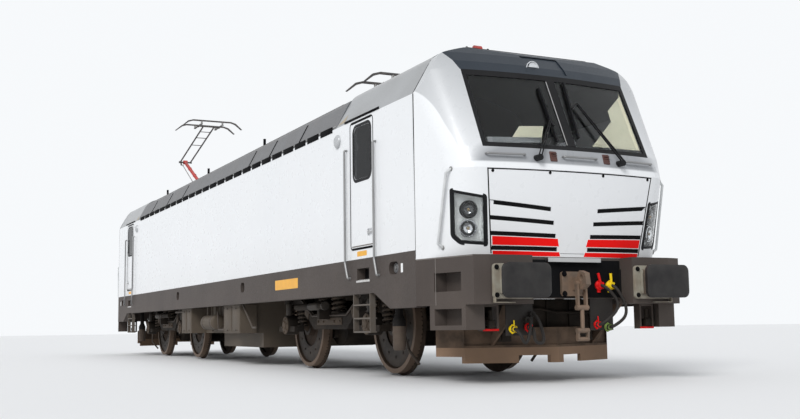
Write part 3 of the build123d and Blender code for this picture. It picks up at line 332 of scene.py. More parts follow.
@dataclass(frozen=True)
class Glazing:
    """Clear or tinted glass."""

    name: str
    tint: Colour
    roughness: float = 0.02
    clear: float = 1.0
    index: float = 1.45

    @cache
    def material(self) -> bpy.types.Material:
        """The node material of this glass, made once.

        Returns:
            The material, see-through, with faint smears in its gloss.
        """
        nodes = Nodes(self.name)
        smear = nodes.spread(nodes.noise(3.0, 2.0), 0.0, 1.0, self.roughness * 0.5, self.roughness * 1.8)
        nodes.shade({"Base Color": (*self.tint, 1), "Transmission Weight": self.clear, "IOR": self.index,
                     "Roughness": smear})
        return nodes.material


WHITE = Finish(
    "white_body_paint", (0.80, 0.81, 0.82), (0.775, 0.787, 0.80), 0.3, patch_scale=0.5, grain_scale=9,
    bump=0.001, coat=0.2, shine=0.4, grime=Grime.LOW, dust=(0.42, 0.38, 0.33), dust_low=1.3, dust_high=2.0,
    dust_amount=0.15, streak=0.02)
SILVER = Finish(
    "silver_roof_paint", (0.33, 0.34, 0.35), (0.28, 0.29, 0.3), 0.38, metallic=0.35, grain_scale=90,
    bump=0.02, coat=0.2, grime=Grime.TOP, dust=(0.3, 0.28, 0.25), dust_amount=0.35)
SILL_GREY = Finish(
    "sill_grey_paint", (0.060, 0.049, 0.044), (0.073, 0.06, 0.054), 0.55, grain_scale=70, bump=0.04,
    shine=0.2, grime=Grime.LOW, dust=(0.12, 0.092, 0.07), dust_low=0.4, dust_high=1.5, dust_amount=0.3,
    streak=0.08)
GEAR_GREY = Finish(
    "running_gear_grime", (0.009, 0.008, 0.0075), (0.024, 0.019, 0.015), 0.75, patch_scale=4, grain_scale=120,
    bump=0.2, shine=0.15, grime=Grime.ALL, dust=(0.055, 0.041, 0.03), dust_amount=0.35)
ROOF_GREY = Finish(
    "roof_grey_paint", (0.13, 0.135, 0.145), (0.1, 0.105, 0.115), 0.5, grain_scale=80, bump=0.05,
    grime=Grime.TOP, dust=(0.2, 0.17, 0.14), dust_amount=0.5, streak=0.1)
CAP_GREY = Finish(
    "cap_grey_paint", (0.012, 0.019, 0.029), (0.018, 0.026, 0.037), 0.4, grain_scale=60, bump=0.02, shine=0.3,
    grime=Grime.TOP, dust=(0.05, 0.055, 0.062), dust_amount=0.3)
BLACK = Finish(
    "black_rubber_trim", (0.006, 0.006, 0.007), (0.011, 0.011, 0.012), 0.5, grain_scale=150, bump=0.05,
    shine=0.15, grime=Grime.TOP, dust=(0.04, 0.038, 0.036), dust_amount=0.25)
BUFFER_BLACK = Finish(
    "buffer_plate_paint", (0.011, 0.010, 0.011), (0.022, 0.021, 0.021), 0.45, patch_scale=6, grain_scale=90,
    bump=0.1, shine=0.25, grime=Grime.ALL, dust=(0.05, 0.046, 0.042), dust_amount=0.3)
FLANGE_GREEN = Finish(
    "buffer_housing_paint", (0.3, 0.29, 0.24), (0.22, 0.2, 0.16), 0.6, patch_scale=9, grain_scale=110,
    bump=0.2, grime=Grime.ALL, dust=(0.2, 0.15, 0.1), dust_amount=0.4)
RED_STRIPE = Finish(
    "red_stripe_film", (0.86, 0.006, 0.005), (0.80, 0.006, 0.005), 0.5, grain_scale=30, bump=0.005, shine=0.1)
WHITE_LINE = Finish(
    "white_edge_film", (0.85, 0.85, 0.84), (0.78, 0.78, 0.77), 0.35, grain_scale=30, bump=0.01)
TREAD = Finish(
    "dusty_wheel_rim", (0.15, 0.105, 0.075), (0.1, 0.072, 0.054), 0.55, metallic=0.2, patch_scale=6,
    grain_scale=200, bump=0.1, shine=0.2, grime=Grime.ALL, dust=(0.2, 0.14, 0.1), dust_amount=0.3)
WHEEL = Finish(
    "wheel_rust_dust", (0.022, 0.016, 0.012), (0.045, 0.031, 0.023), 0.75, patch_scale=5, grain_scale=140,
    bump=0.2, shine=0.15, grime=Grime.ALL, dust=(0.09, 0.06, 0.042), dust_amount=0.4)
BARE_STEEL = Finish(
    "bare_steel", (0.5, 0.5, 0.5), (0.38, 0.37, 0.36), 0.32, metallic=1.0, grain_scale=180, bump=0.05)
GALVANISED = Finish(
    "galvanised_grey", (0.34, 0.35, 0.35), (0.25, 0.25, 0.25), 0.5, metallic=0.4, patch_scale=12,
    grain_scale=100, bump=0.08, grime=Grime.ALL, dust=(0.2, 0.16, 0.12), dust_amount=0.3)
FORGED = Finish(
    "forged_rust", (0.13, 0.095, 0.07), (0.22, 0.14, 0.09), 0.65, metallic=0.2, patch_scale=10,
    grain_scale=120, bump=0.3, grime=Grime.ALL, dust=(0.2, 0.14, 0.1), dust_amount=0.35)
PLOUGH = Finish(
    "plough_dusty_paint", (0.24, 0.155, 0.1), (0.16, 0.105, 0.07), 0.75, patch_scale=5, grain_scale=90,
    bump=0.2, shine=0.15, grime=Grime.ALL, dust=(0.34, 0.225, 0.15), dust_amount=0.4,
    zones=(Zone("Z", 0.375, 1.2, (0.014, 0.012, 0.011)),))
HOSE = Finish(
    "black_hose_rubber", (0.012, 0.012, 0.012), (0.022, 0.021, 0.02), 0.6, grain_scale=220, bump=0.15,
    shine=0.2, grime=Grime.ALL, dust=(0.07, 0.055, 0.045), dust_amount=0.25)
COCK_RED = Finish(
    "red_cock_paint", (0.75, 0.008, 0.008), (0.5, 0.01, 0.01), 0.45, patch_scale=20, bump=0.08, shine=0.2)
COCK_YELLOW = Finish(
    "yellow_cock_paint", (0.9, 0.66, 0.01), (0.75, 0.5, 0.02), 0.45, patch_scale=20, bump=0.08, shine=0.2)
ORANGE_PLATE = Finish(
    "orange_plate_film", (0.85, 0.42, 0.02), (0.75, 0.36, 0.03), 0.4, patch_scale=8, bump=0.02)
ARM_RED = Finish(
    "red_arm_paint", (0.55, 0.03, 0.025), (0.4, 0.03, 0.025), 0.45, patch_scale=5, bump=0.1, grime=Grime.ALL,
    dust=(0.18, 0.08, 0.06), dust_amount=0.3)
ARM_GREY = Finish(
    "dark_arm_paint", (0.045, 0.046, 0.05), (0.075, 0.073, 0.072), 0.5, patch_scale=6, bump=0.1,
    grime=Grime.ALL, dust=(0.14, 0.11, 0.09), dust_amount=0.3)
PORCELAIN = Finish(
    "brown_post_glaze", (0.13, 0.05, 0.03), (0.09, 0.04, 0.028), 0.2, coat=0.6, grain_scale=40, bump=0.03,
    grime=Grime.TOP, dust=(0.2, 0.16, 0.13), dust_amount=0.35)
CONDUCTOR = Finish(
    "conductor_metal", (0.5, 0.48, 0.46), (0.36, 0.33, 0.3), 0.4, metallic=0.85, grain_scale=150)
BOX_GREY = Finish(
    "equipment_box_paint", (0.075, 0.062, 0.05), (0.055, 0.047, 0.04), 0.6, patch_scale=2.5, grain_scale=90,
    bump=0.1, shine=0.2, grime=Grime.ALL, dust=(0.17, 0.13, 0.09), dust_amount=0.4)
LINING = Finish(
    "cab_lining", (0.16, 0.155, 0.15), (0.13, 0.127, 0.12), 0.7, grain_scale=150, bump=0.1, shine=0.2)
DESK = Finish(
    "desk_moulding", (0.05, 0.052, 0.055), (0.07, 0.07, 0.074), 0.6, grain_scale=300, bump=0.2, shine=0.2)
DESK_SHELF = Finish(
    "desk_shelf_moulding", (0.30, 0.31, 0.32), (0.26, 0.27, 0.28), 0.5, grain_scale=200, bump=0.05)
CLOTH = Finish("seat_weave", (0.02, 0.025, 0.05), (0.05, 0.055, 0.08), 0.9, grain_scale=600, bump=0.6)
BLIND = Finish(
    "sun_blind_cloth", (0.86, 0.82, 0.62), (0.8, 0.76, 0.57), 0.85, grain_scale=400, bump=0.3, shine=0.1)
REFLECTOR = Finish(
    "lamp_reflector", (0.75, 0.76, 0.78), (0.6, 0.61, 0.63), 0.12, metallic=1.0, grain_scale=30, bump=0.01)
LAMP_BODY = Finish(
    "lamp_grey_plastic", (0.90, 0.92, 0.91), (0.84, 0.86, 0.85), 0.35, grain_scale=60, bump=0.02)
SHADE = Finish(
    "matt_black_shade", (0.005, 0.005, 0.006), (0.01, 0.01, 0.01), 0.8, grain_scale=140, bump=0.06,
    shine=0.05)
FITTING_BROWN = Finish(
    "brown_resin_fitting", (0.085, 0.03, 0.022), (0.06, 0.024, 0.02), 0.5, patch_scale=18, bump=0.1)
DARK_CHROME = Finish(
    "dark_chrome_reflector", (0.16, 0.165, 0.17), (0.09, 0.092, 0.095), 0.14, metallic=0.9, grain_scale=30,
    bump=0.01)
BULB = Finish(
    "warm_bulb_glass", (0.62, 0.42, 0.2), (0.5, 0.34, 0.16), 0.2, coat=0.5, grain_scale=40, bump=0.01)
HOUSING_BROWN = Finish(
    "buffer_housing_grime", (0.075, 0.058, 0.045), (0.12, 0.09, 0.066), 0.62, patch_scale=7, grain_scale=110,
    bump=0.2, grime=Grime.ALL, dust=(0.16, 0.115, 0.08), dust_amount=0.3)
COCK_GREEN = Finish("green_cock_paint", (0.2, 0.3, 0.06), (0.14, 0.22, 0.05), 0.45, patch_scale=20, bump=0.1)
WHITE_RAIL = Finish(
    "white_rail_paint", (0.62, 0.63, 0.63), (0.5, 0.51, 0.51), 0.35, patch_scale=8, bump=0.03, coat=0.2)
SEAM_GREY = Finish(
    "pale_seam_sealant", (0.2, 0.18, 0.165), (0.16, 0.145, 0.13), 0.6, patch_scale=8, bump=0.05)
PALE_LIP = Finish("worn_white_lip", (0.62, 0.61, 0.6), (0.42, 0.41, 0.39), 0.5, patch_scale=14, bump=0.05)
PLUG_GREY = Finish(
    "socket_plug_grey", (0.11, 0.11, 0.115), (0.15, 0.145, 0.14), 0.5, patch_scale=14, bump=0.08)
DOME = Finish(
    "pale_side_dome", (0.5, 0.51, 0.52), (0.4, 0.41, 0.42), 0.3, metallic=0.2, patch_scale=14, bump=0.02)
PRIMER = Finish("beige_primer_patch", (0.4, 0.34, 0.25), (0.33, 0.28, 0.21), 0.6, patch_scale=9, bump=0.05)
SPRING = Finish(
    "spring_grime", (0.03, 0.026, 0.023), (0.065, 0.05, 0.038), 0.65, patch_scale=9, grain_scale=120,
    bump=0.2, shine=0.2, grime=Grime.ALL, dust=(0.12, 0.088, 0.062), dust_amount=0.35)
BOX_COVER = Finish(
    "axlebox_cover_dust", (0.05, 0.038, 0.029), (0.03, 0.024, 0.02), 0.65, patch_scale=6, grain_scale=110,
    bump=0.15, shine=0.2, grime=Grime.ALL, dust=(0.15, 0.105, 0.07), dust_amount=0.4)
DAMPER = Finish(
    "damper_sleeve_paint", (0.03, 0.029, 0.029), (0.05, 0.047, 0.043), 0.5, patch_scale=8, bump=0.08,
    shine=0.2, grime=Grime.ALL, dust=(0.12, 0.088, 0.06), dust_amount=0.3)
DISC = Finish(
    "brake_disc_iron", (0.03, 0.024, 0.02), (0.055, 0.043, 0.034), 0.55, metallic=0.3, patch_scale=7,
    grain_scale=160, bump=0.1, shine=0.2)
RAIL_GREY = Finish(
    "handrail_grey", (0.3, 0.3, 0.3), (0.22, 0.22, 0.22), 0.4, metallic=0.5, grain_scale=120, bump=0.04)
LADDER = Finish(
    "ladder_grime", (0.11, 0.1, 0.09), (0.08, 0.07, 0.06), 0.55, metallic=0.2, patch_scale=9, bump=0.1,
    shine=0.3, grime=Grime.ALL, dust=(0.17, 0.13, 0.095), dust_amount=0.35)
PIPE_GREY = Finish(
    "pipe_grime", (0.07, 0.062, 0.055), (0.045, 0.04, 0.035), 0.6, patch_scale=9, bump=0.1, shine=0.2,
    grime=Grime.ALL, dust=(0.14, 0.1, 0.075), dust_amount=0.35)
SAND_GREY = Finish(
    "sand_holder_grime", (0.12, 0.09, 0.07), (0.075, 0.058, 0.046), 0.65, patch_scale=4, bump=0.12, shine=0.2,
    zones=(Zone("Z", 0.62, 1.4, (0.014, 0.012, 0.011)),))
WINDSCREEN = Glazing("windscreen_glass", (0.8, 0.82, 0.82), 0.01, 1.0, 1.25)
LAMP_GLASS = Glazing("lamp_cover_glass", (0.97, 0.98, 0.98), 0.01, 1.0, 1.3)
DOOR_GLASS = Glazing("door_glass", (0.16, 0.165, 0.17), 0.02, 0.9, 1.12)

# Cab shell white, with silver paint above the crease whose lower share is a painted shade, and a painted grey
# shade on the ledge below the windscreen.
SHELL_WHITE = replace(WHITE, name="cab_shell_paint_and_shade", silver_shade_crease=(
    (8.271, 3.159), (8.370, 3.107), (8.484, 3.014), (8.595, 2.885), (8.702, 2.727), (8.793, 2.595),
    (8.882, 2.455), (8.985, 2.336)))

ENDS = ("front", "rear")
SURFACES: dict[str, Finish | Glazing] = {
    "side_wall_left": WHITE, "side_wall_right": WHITE, "cab_shell_front": SHELL_WHITE,
    "cab_shell_rear": SHELL_WHITE, "nose_panels": WHITE, "cab_roofs": SILVER, "sills": SILL_GREY,
    "headstocks": SILL_GREY, "underframe": GEAR_GREY, "roof_hatch_middle": ROOF_GREY,
    "roof_hatches_end": ROOF_GREY, "cab_caps": CAP_GREY, "windscreen_frames": BLACK, "wipers": BLACK,
    "buffers": BUFFER_BLACK, "windscreens": WINDSCREEN, "headlamps": BLACK, "handrails": RAIL_GREY,
    "nose_steps": BARE_STEEL, "couplers": FORGED, "ploughs": PLOUGH, "brake_hoses": HOSE,
    "pantograph_bases": ARM_GREY, "roof_insulators": PORCELAIN, "roof_gear": CONDUCTOR, "bulkheads": LINING,
    "driver_desks": DESK, "driver_seats": CLOTH, "converter_block": BOX_GREY, "transformer": BOX_GREY,
    "equipment_boxes": BOX_GREY, "air_tanks": BOX_GREY, "entry_ladders": LADDER,
    **{f"door_{end}_{side}": WHITE for end in ENDS for side in ("left", "right")},
    **{f"wheelset_{end}_{place}": WHEEL for end in ENDS for place in ("outer", "inner")},
    **{f"pantograph_{arm}_{end}": surface for end in ENDS for arm, surface in (
        ("lower_arm", ARM_RED), ("upper_arm", ARM_GREY), ("head", ARM_GREY), ("rod", GALVANISED))},
    **{f"bogie_{piece}_{end}": GEAR_GREY for end in ENDS
       for piece in ("frame", "axleboxes", "springs", "dampers", "motors")},
}


class Skin:
    """The outer faces of some CAD nodes, for pieces that lie on them."""

    def __init__(self, *names: str) -> None:
        """The skin of the named nodes."""
        verts: list[Vector] = []
        faces: list[list[int]] = []
        for name in names:
            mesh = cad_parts[name].data
            start = len(verts)
            verts.extend(vert.co.copy() for vert in mesh.vertices)
            faces.extend([start + index for index in face.vertices] for face in mesh.polygons)
        self.tree = BVHTree.FromPolygons(verts, faces)

    def point(self, base: Vector, out: Vector) -> Vector:
        """The outermost point of the skin over a base point.

        Args:
            base: A point on the plane through the origin.
            out: The direction that the skin faces.
        Returns:
            The point on the skin.
        """
        steps = [Vector()] + [Vector(axis) * side for axis in (AHEAD, LEFT, UP)
                              for side in (SIDE_STEP, -SIDE_STEP)]
        for step in steps:
            hit = self.tree.ray_cast(base + step + out * RAY_START, -out)[0]
            if hit is not None:
                return base + out * (hit - base).dot(out)
        raise ValueError(f"nothing lies under {tuple(base)}")


def facing(out: Point, across: Point, origin: Point = (0, 0, 0)) -> Matrix:
    """Matrix of a plane that faces out, with its X across.

    Args:
        out: The plane's normal.
        across: Its X direction.
        origin: Its origin.
    Returns:
        The matrix from the plane to the frame.
    """
    normal, first = Vector(out).normalized(), Vector(across).normalized()
    return Matrix.Translation(origin) @ Matrix((first, normal.cross(first), normal)).transposed().to_4x4()


FRONT_VIEW = facing(AHEAD, LEFT)
SIDE_VIEW = facing(RIGHT, AHEAD)


def on_side(station: float = 0.0, height: float = 0.0, out: float = HALF_WIDTH) -> Matrix:
    """The plane of the right side wall, or one parallel to it.

    Args:
        station: Where its origin lies along the locomotive.
        height: Height of its origin.
        out: Distance from the middle of the locomotive.
    Returns:
        The matrix from the plane to the frame.
    """
    place = SIDE_VIEW.copy()
    place.translation = (station, -out, height)
    return place


def rectangle(low_x: float, low_y: float, high_x: float, high_y: float) -> list[Pair]:
    """Corners of a rectangle in order."""
    return [(low_x, low_y), (high_x, low_y), (high_x, high_y), (low_x, high_y)]


def centred(wide: float, tall: float) -> list[Pair]:
    """Corners of a rectangle about its middle."""
    return rectangle(-wide / 2, -tall / 2, wide / 2, tall / 2)


def raised(points: Iterable[Pair]) -> list[Pair]:
    """Outline corners given above the rail, as heights above the floor."""
    return [(across, above_rail(height)) for across, height in points]


def tilted(degrees: float) -> Matrix:
    """A rotation about the axis across the locomotive."""
    return Matrix.Rotation(radians(degrees), 4, "Y")


def ease(made: Bm, parts: list, offset: float, affect: str = "EDGES", steps: int = EDGE_STEPS) -> None:
    """Bevels edges or corners of a mesh.

    Args:
        made: The mesh.
        parts: The edges or vertices.
        offset: Width of the bevel.
        affect: EDGES or VERTICES.
        steps: Faces across the bevel.
    """
    bmesh.ops.bevel(made, geom=parts, offset=offset, offset_type="OFFSET", segments=steps, profile=0.5,
                    affect=affect, clamp_overlap=True, material=-1)


class Shape:
    """A mesh under construction, in metres, in the locomotive's frame."""

    def __init__(self) -> None:
        """An empty shape."""
        self.bm = bmesh.new()

    def block(self, centre: Point, size: Point, edge: float = 0.0, turn: Matrix | None = None) -> None:
        """A box with eased edges.

        Args:
            centre: Its middle.
            size: Its size along X, Y and Z.
            edge: Width of the edge bevel.
            turn: A rotation about the middle.
        """
        place = Matrix.Translation(centre) @ (turn or Matrix.Identity(4)) @ Matrix.Diagonal((*size, 1))
        made = bmesh.ops.create_cube(self.bm, size=1.0, matrix=place)
        if edge > 0:
            ease(self.bm, list({e for v in made["verts"] for e in v.link_edges}), edge)

    def rod(self, start: Point, end: Point, radius: float, segments: int = 14,
            end_radius: float | None = None) -> None:
        """A round bar, or a cone where the end radius differs.

        Args:
            start: Middle of its first end.
            end: Middle of its other end.
            radius: Radius at the first end.
            segments: Sides of the circle.
            end_radius: Radius at the other end.
        """
        first, last = Vector(start), Vector(end)
        run = last - first
        place = Matrix.Translation((first + last) / 2) @ run.to_track_quat("Z", "Y").to_matrix().to_4x4()
        bmesh.ops.create_cone(self.bm, cap_ends=True, segments=segments, radius1=radius,
                              radius2=radius if end_radius is None else end_radius, depth=run.length,
                              matrix=place)

    def lathe(self, centre: Point, axis: Point, profile: Iterable[Pair], segments: int = 28) -> None:
        """A turned shape.

        Args:
            centre: The foot of the axis.
            axis: Its direction.
            profile: Pairs of radius and distance along the axis.
            segments: Steps round the axis.
        """
        turn = Vector(axis).to_track_quat("Z", "Y").to_matrix().to_4x4()
        place = Matrix.Translation(centre) @ turn
        verts = [self.bm.verts.new(place @ Vector((radius, 0, along))) for radius, along in profile]
        edges = [self.bm.edges.new(pair) for pair in zip(verts, verts[1:])]
        spun = bmesh.ops.spin(self.bm, geom=verts + edges, cent=Vector(centre),
                              axis=turn.to_3x3() @ Vector(UP), dvec=(0, 0, 0), angle=2 * pi, steps=segments,
                              use_merge=True, use_duplicate=False)
        made = [part for part in spun["geom_last"] if isinstance(part, BmVert)]
        bmesh.ops.remove_doubles(self.bm, verts=list(set(verts) | set(made)), dist=WELD)

    def coil(self, foot: Point, radius: float, wire: float, height: float, turns: float) -> None:
        """A coil spring standing upright.

        Args:
            foot: Middle of its lower end.
            radius: Radius to the middle of the wire.
            wire: Radius of the wire.
            height: Its height.
            turns: Its number of turns.
        """
        start = Vector(foot) + Vector((radius, 0, wire))
        turn = Matrix.Rotation(pi / 2, 4, "X")
        made = bmesh.ops.create_circle(self.bm, cap_ends=True, segments=8, radius=wire,
                                       matrix=Matrix.Translation(start) @ turn)
        steps = int(turns * COIL_STEPS)
        faces = list({f for v in made["verts"] for f in v.link_faces})
        bmesh.ops.spin(self.bm, geom=faces, cent=Vector(foot), axis=UP,
                       dvec=(0, 0, (height - 2 * wire) / steps), angle=2 * pi * turns, steps=steps)

    def _take(self, made: Bm) -> None:
        """Adds a finished mesh to this one and frees it.

        Args:
            made: The finished mesh.
        """
        mesh = bpy.data.meshes.new("made")
        made.to_mesh(mesh)
        made.free()
        self.bm.from_mesh(mesh)
        bpy.data.meshes.remove(mesh)

    def _outline(self, corners: Iterable[Pair], corner: float) -> tuple[Bm, BmFace]:
        """A flat outline in its own plane.

        Args:
            corners: Its corners in order.
            corner: Radius of its corners.
        Returns:
            The mesh and its face.
        """
        made = bmesh.new()
        made.faces.new([made.verts.new((x, y, 0)) for x, y in corners])
        if corner > 0:
            ease(made, list(made.verts), corner, "VERTICES", CORNER_STEPS)
        made.faces.ensure_lookup_table()
        return made, made.faces[0]

    def _thicken(self, made: Bm, faces: list[BmFace], thickness: float) -> BmFace:
        """Raises faces of a flat mesh.

        Args:
            made: The flat mesh.
            faces: Its faces.
            thickness: How far they are raised.
        Returns:
            The first raised face.
        """
        raised_parts = bmesh.ops.extrude_face_region(made, geom=faces)["geom"]
        moved = [part for part in raised_parts if isinstance(part, BmVert)]
        bmesh.ops.translate(made, verts=moved, vec=(0, 0, thickness))
        return next(part for part in raised_parts if isinstance(part, BmFace))

    def plate(self, corners: Iterable[Pair], place: Matrix, thickness: float, edge: float = 0.0,
              corner: float = 0.0, crown: float = 0.0) -> None:
        """A flat plate from its outline.

        Args:
            corners: The outline in the plate's own plane, in order.
            place: Matrix from that plane to the frame; the plate rises along its Z.
            thickness: Its thickness.
            edge: Width of the bevel round the raised face.
            corner: Radius of its corners.
            crown: How far the middle of the raised face stands proud.
        """
        made, face = self._outline(corners, corner)
        top = self._thicken(made, [face], thickness)
        if crown > 0:
            for inward, rise in CROWN_STEPS:
                bmesh.ops.inset_region(made, faces=[top], thickness=inward, depth=rise * crown)
        elif edge > 0:
            ease(made, list(top.edges), edge)
        bmesh.ops.transform(made, matrix=place, verts=list(made.verts))
        self._take(made)

    def band(self, corners: Iterable[Pair], place: Matrix, width: float, thickness: float,
             corner: float = 0.0) -> None:
        """A flat frame that follows an outline, inside it.

        Args:
            corners: The outline in the frame's own plane, in order.
            place: Matrix from that plane to the locomotive's frame.
            width: Width of the band.
            thickness: Its thickness.
            corner: Radius of its corners.
        """
        made, face = self._outline(corners, corner)
        bmesh.ops.inset_region(made, faces=[face], thickness=width, depth=0.0, use_boundary=True,
                               use_even_offset=True)
        bmesh.ops.delete(made, geom=[face], context="FACES")
        self._thicken(made, list(made.faces), thickness)
        bmesh.ops.transform(made, matrix=place, verts=list(made.verts))
        self._take(made)

    def cushion(self, size: Point, channels: tuple[float, ...]) -> None:
        """A stuffed form about the origin, with a crowned face, drawn-in sides, sewn channels and a seam.

        Args:
            size: Its length, width and height.
            channels: Where the channels run across, as shares of the half length.
        """
        made = bmesh.new()
        bmesh.ops.create_cube(made, size=2.0)
        bmesh.ops.subdivide_edges(made, edges=list(made.edges), cuts=23, use_grid_fill=True)
        for vert in made.verts:
            vert.co = self._stuffed(vert.co, size, channels)
        self._take(made)
        rim = [(-1, -1), (1, -1), (1, 1), (-1, 1)]
        line = [Vector((x1 + (x2 - x1) * k / SEAM_STEPS, y1 + (y2 - y1) * k / SEAM_STEPS, SEAM_LEVEL))
                for (x1, y1), (x2, y2) in zip(rim, rim[1:] + rim[:1]) for k in range(SEAM_STEPS)]
        seam = [tuple(self._stuffed(point, size, channels)) for point in line]
        self.pipe(seam + seam[:1], SEAM_RADIUS, 8)

    def _stuffed(self, point: Vector, size: Point, channels: tuple[float, ...]) -> Vector:
        """A point of a cube of two units, moved onto a stuffed cushion.

        Args:
            point: The cube's point.
            size: The cushion's length, width and height.
            channels: Where the channels run across, as shares of the half length.
        Returns:
            The cushion's point.
        """
        u, v, w = point
        length = sum(abs(value) ** STUFFING_POWER for value in point) ** (1 / STUFFING_POWER)
        u, v, w = (value / length for value in (u, v, w))
        swell = 1 - STUFFING_CROWN + STUFFING_CROWN * (1 - u ** 4) * (1 - v ** 4)
        sewn = sum(CHANNEL_DEPTH * CHANNEL_BASE ** -((u - channel) / CHANNEL_WIDTH) ** 2
                   for channel in channels)
        sewn *= 1 - v ** 6
        drawn_x, drawn_y = 1 - DRAWN_IN * (1 - v * v), 1 - DRAWN_IN * (1 - u * u)
        return Vector((u * drawn_x * size[0] / 2, v * drawn_y * size[1] / 2,
                       w * (swell - max(0.0, w) * sewn) * size[2] / 2))

    def divide(self, axis: Point, low: float, high: float, step: float) -> None:
        """Cuts the faces at even steps along an axis, so that they can follow a curve.

        Args:
            axis: The axis.
            low: First cut.
            high: Last cut.
            step: Distance between cuts.
        """
        for index in range(int((high - low) / step) + 1):
            bmesh.ops.bisect_plane(self.bm, geom=self._parts(), plane_co=Vector(axis) * (low + index * step),
                                   plane_no=axis, dist=ON_PLANE)

    def drape(self, skin: "Skin", axis: Point) -> None:
        """Moves the shape, drawn at zero along an axis, onto a skin that faces that way.

        Args:
            skin: The skin it lies on.
            axis: The direction that the skin faces.
        """
        out = Vector(axis)
        for vert in self.bm.verts:
            lift = vert.co.dot(out)
            vert.co = skin.point(vert.co - out * lift, out) + out * lift

    def pipe(self, points: list[Point], radius: float, segments: int = 8) -> None:
        """A run of pipe through a few points, with balls at its bends.

        Args:
            points: The points it passes.
            radius: Its radius.
            segments: Sides of the circle.
        """
        for start, end in zip(points, points[1:]):
            self.rod(start, end, radius, segments)
        for point in points[1:-1]:
            bmesh.ops.create_uvsphere(self.bm, u_segments=segments, v_segments=6, radius=radius * 1.01,
                                      matrix=Matrix.Translation(point))

    def bolts(self, places: list[Point], axis: Point, radius: float, height: float) -> None:
        """Hexagon bolt heads with washers.

        Args:
            places: Where each stands.
            axis: The direction it stands out.
            radius: Radius of a head.
            height: Height of a head.
        """
        out = Vector(axis).normalized()
        for place in places:
            foot = Vector(place)
            self.rod(tuple(foot), tuple(foot + out * height * 0.3), radius * 1.5, 12)
            self.rod(tuple(foot), tuple(foot + out * height), radius, 6)

    def _parts(self) -> list:
        """All vertices, edges and faces."""
        return [*self.bm.verts, *self.bm.edges, *self.bm.faces]

    def _doubled(self) -> tuple[list[BmVert], list[BmFace]]:
        """Adds a copy in the same place, and gives its vertices and faces."""
        parts = bmesh.ops.duplicate(self.bm, geom=self._parts())["geom"]
        return tuple([part for part in parts if isinstance(part, kind)] for kind in (BmVert, BmFace))

    def also_left(self) -> None:
        """Adds the mirror image across the middle of the locomotive."""
        verts, faces = self._doubled()
        bmesh.ops.scale(self.bm, vec=(1, -1, 1), verts=verts)
        bmesh.ops.reverse_faces(self.bm, faces=faces)

    def also_other_end(self) -> None:
        """Adds the copy turned half a turn about the vertical through the origin."""
        verts, _ = self._doubled()
        bmesh.ops.rotate(self.bm, cent=(0, 0, 0), matrix=Matrix.Rotation(pi, 3, "Z"), verts=verts)

    def move(self, place: Matrix) -> None:
        """Moves the whole shape by a matrix."""
        bmesh.ops.transform(self.bm, matrix=place, verts=list(self.bm.verts))

    def finish(self, name: str, body: str, surface: Finish | Glazing, slot: str) -> bpy.types.Object:
        """Turns the shape into a piece that rides on a body.

        Args:
            name: The piece's name.
            body: The body it moves with.
            surface: Its finish.
            slot: The record's material slot for the piece; not used.
        Returns:
            The piece.
        """
        bmesh.ops.recalc_face_normals(self.bm, faces=list(self.bm.faces))
        for face in self.bm.faces:
            face.smooth = True
        for edge in self.bm.edges:
            edge.smooth = len(edge.link_faces) == 2 and edge.calc_face_angle(0.0) < SMOOTH_ANGLE
        mesh = bpy.data.meshes.new(name)
        self.bm.to_mesh(mesh)
        self.bm.free()
        piece = add_object(name, mesh)
        mesh.materials.append(surface.material())
        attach(piece, body)
        LOG.info("%s: %d faces", name, len(mesh.polygons))
        return piece


Row = tuple[Shape, str, Finish | Glazing, str]


def finish_all(rows: Iterable[Row], body: str = "body", left: bool = False,
               ends: bool = True) -> list[bpy.types.Object]:
    """Finishes shapes that ride on one body.

    Args:
        rows: Each shape with its name, finish and slot.
        body: The body they move with.
        left: Whether each is copied to the left side.
        ends: Whether each is copied to the other end.
    Returns:
        The pieces.
    """
    pieces = []
    for shape, name, surface, slot in rows:
        if left:
            shape.also_left()
        if ends:
            shape.also_other_end()
        pieces.append(shape.finish(name, body, surface, slot))
    return pieces


class CadSkins:
    """Finishes of the CAD nodes themselves."""

    def dress(self) -> None:
        """Gives every CAD node its finish."""
        for name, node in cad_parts.items():
            node.data.materials.clear()
            node.data.materials.append(SURFACES[name].material())


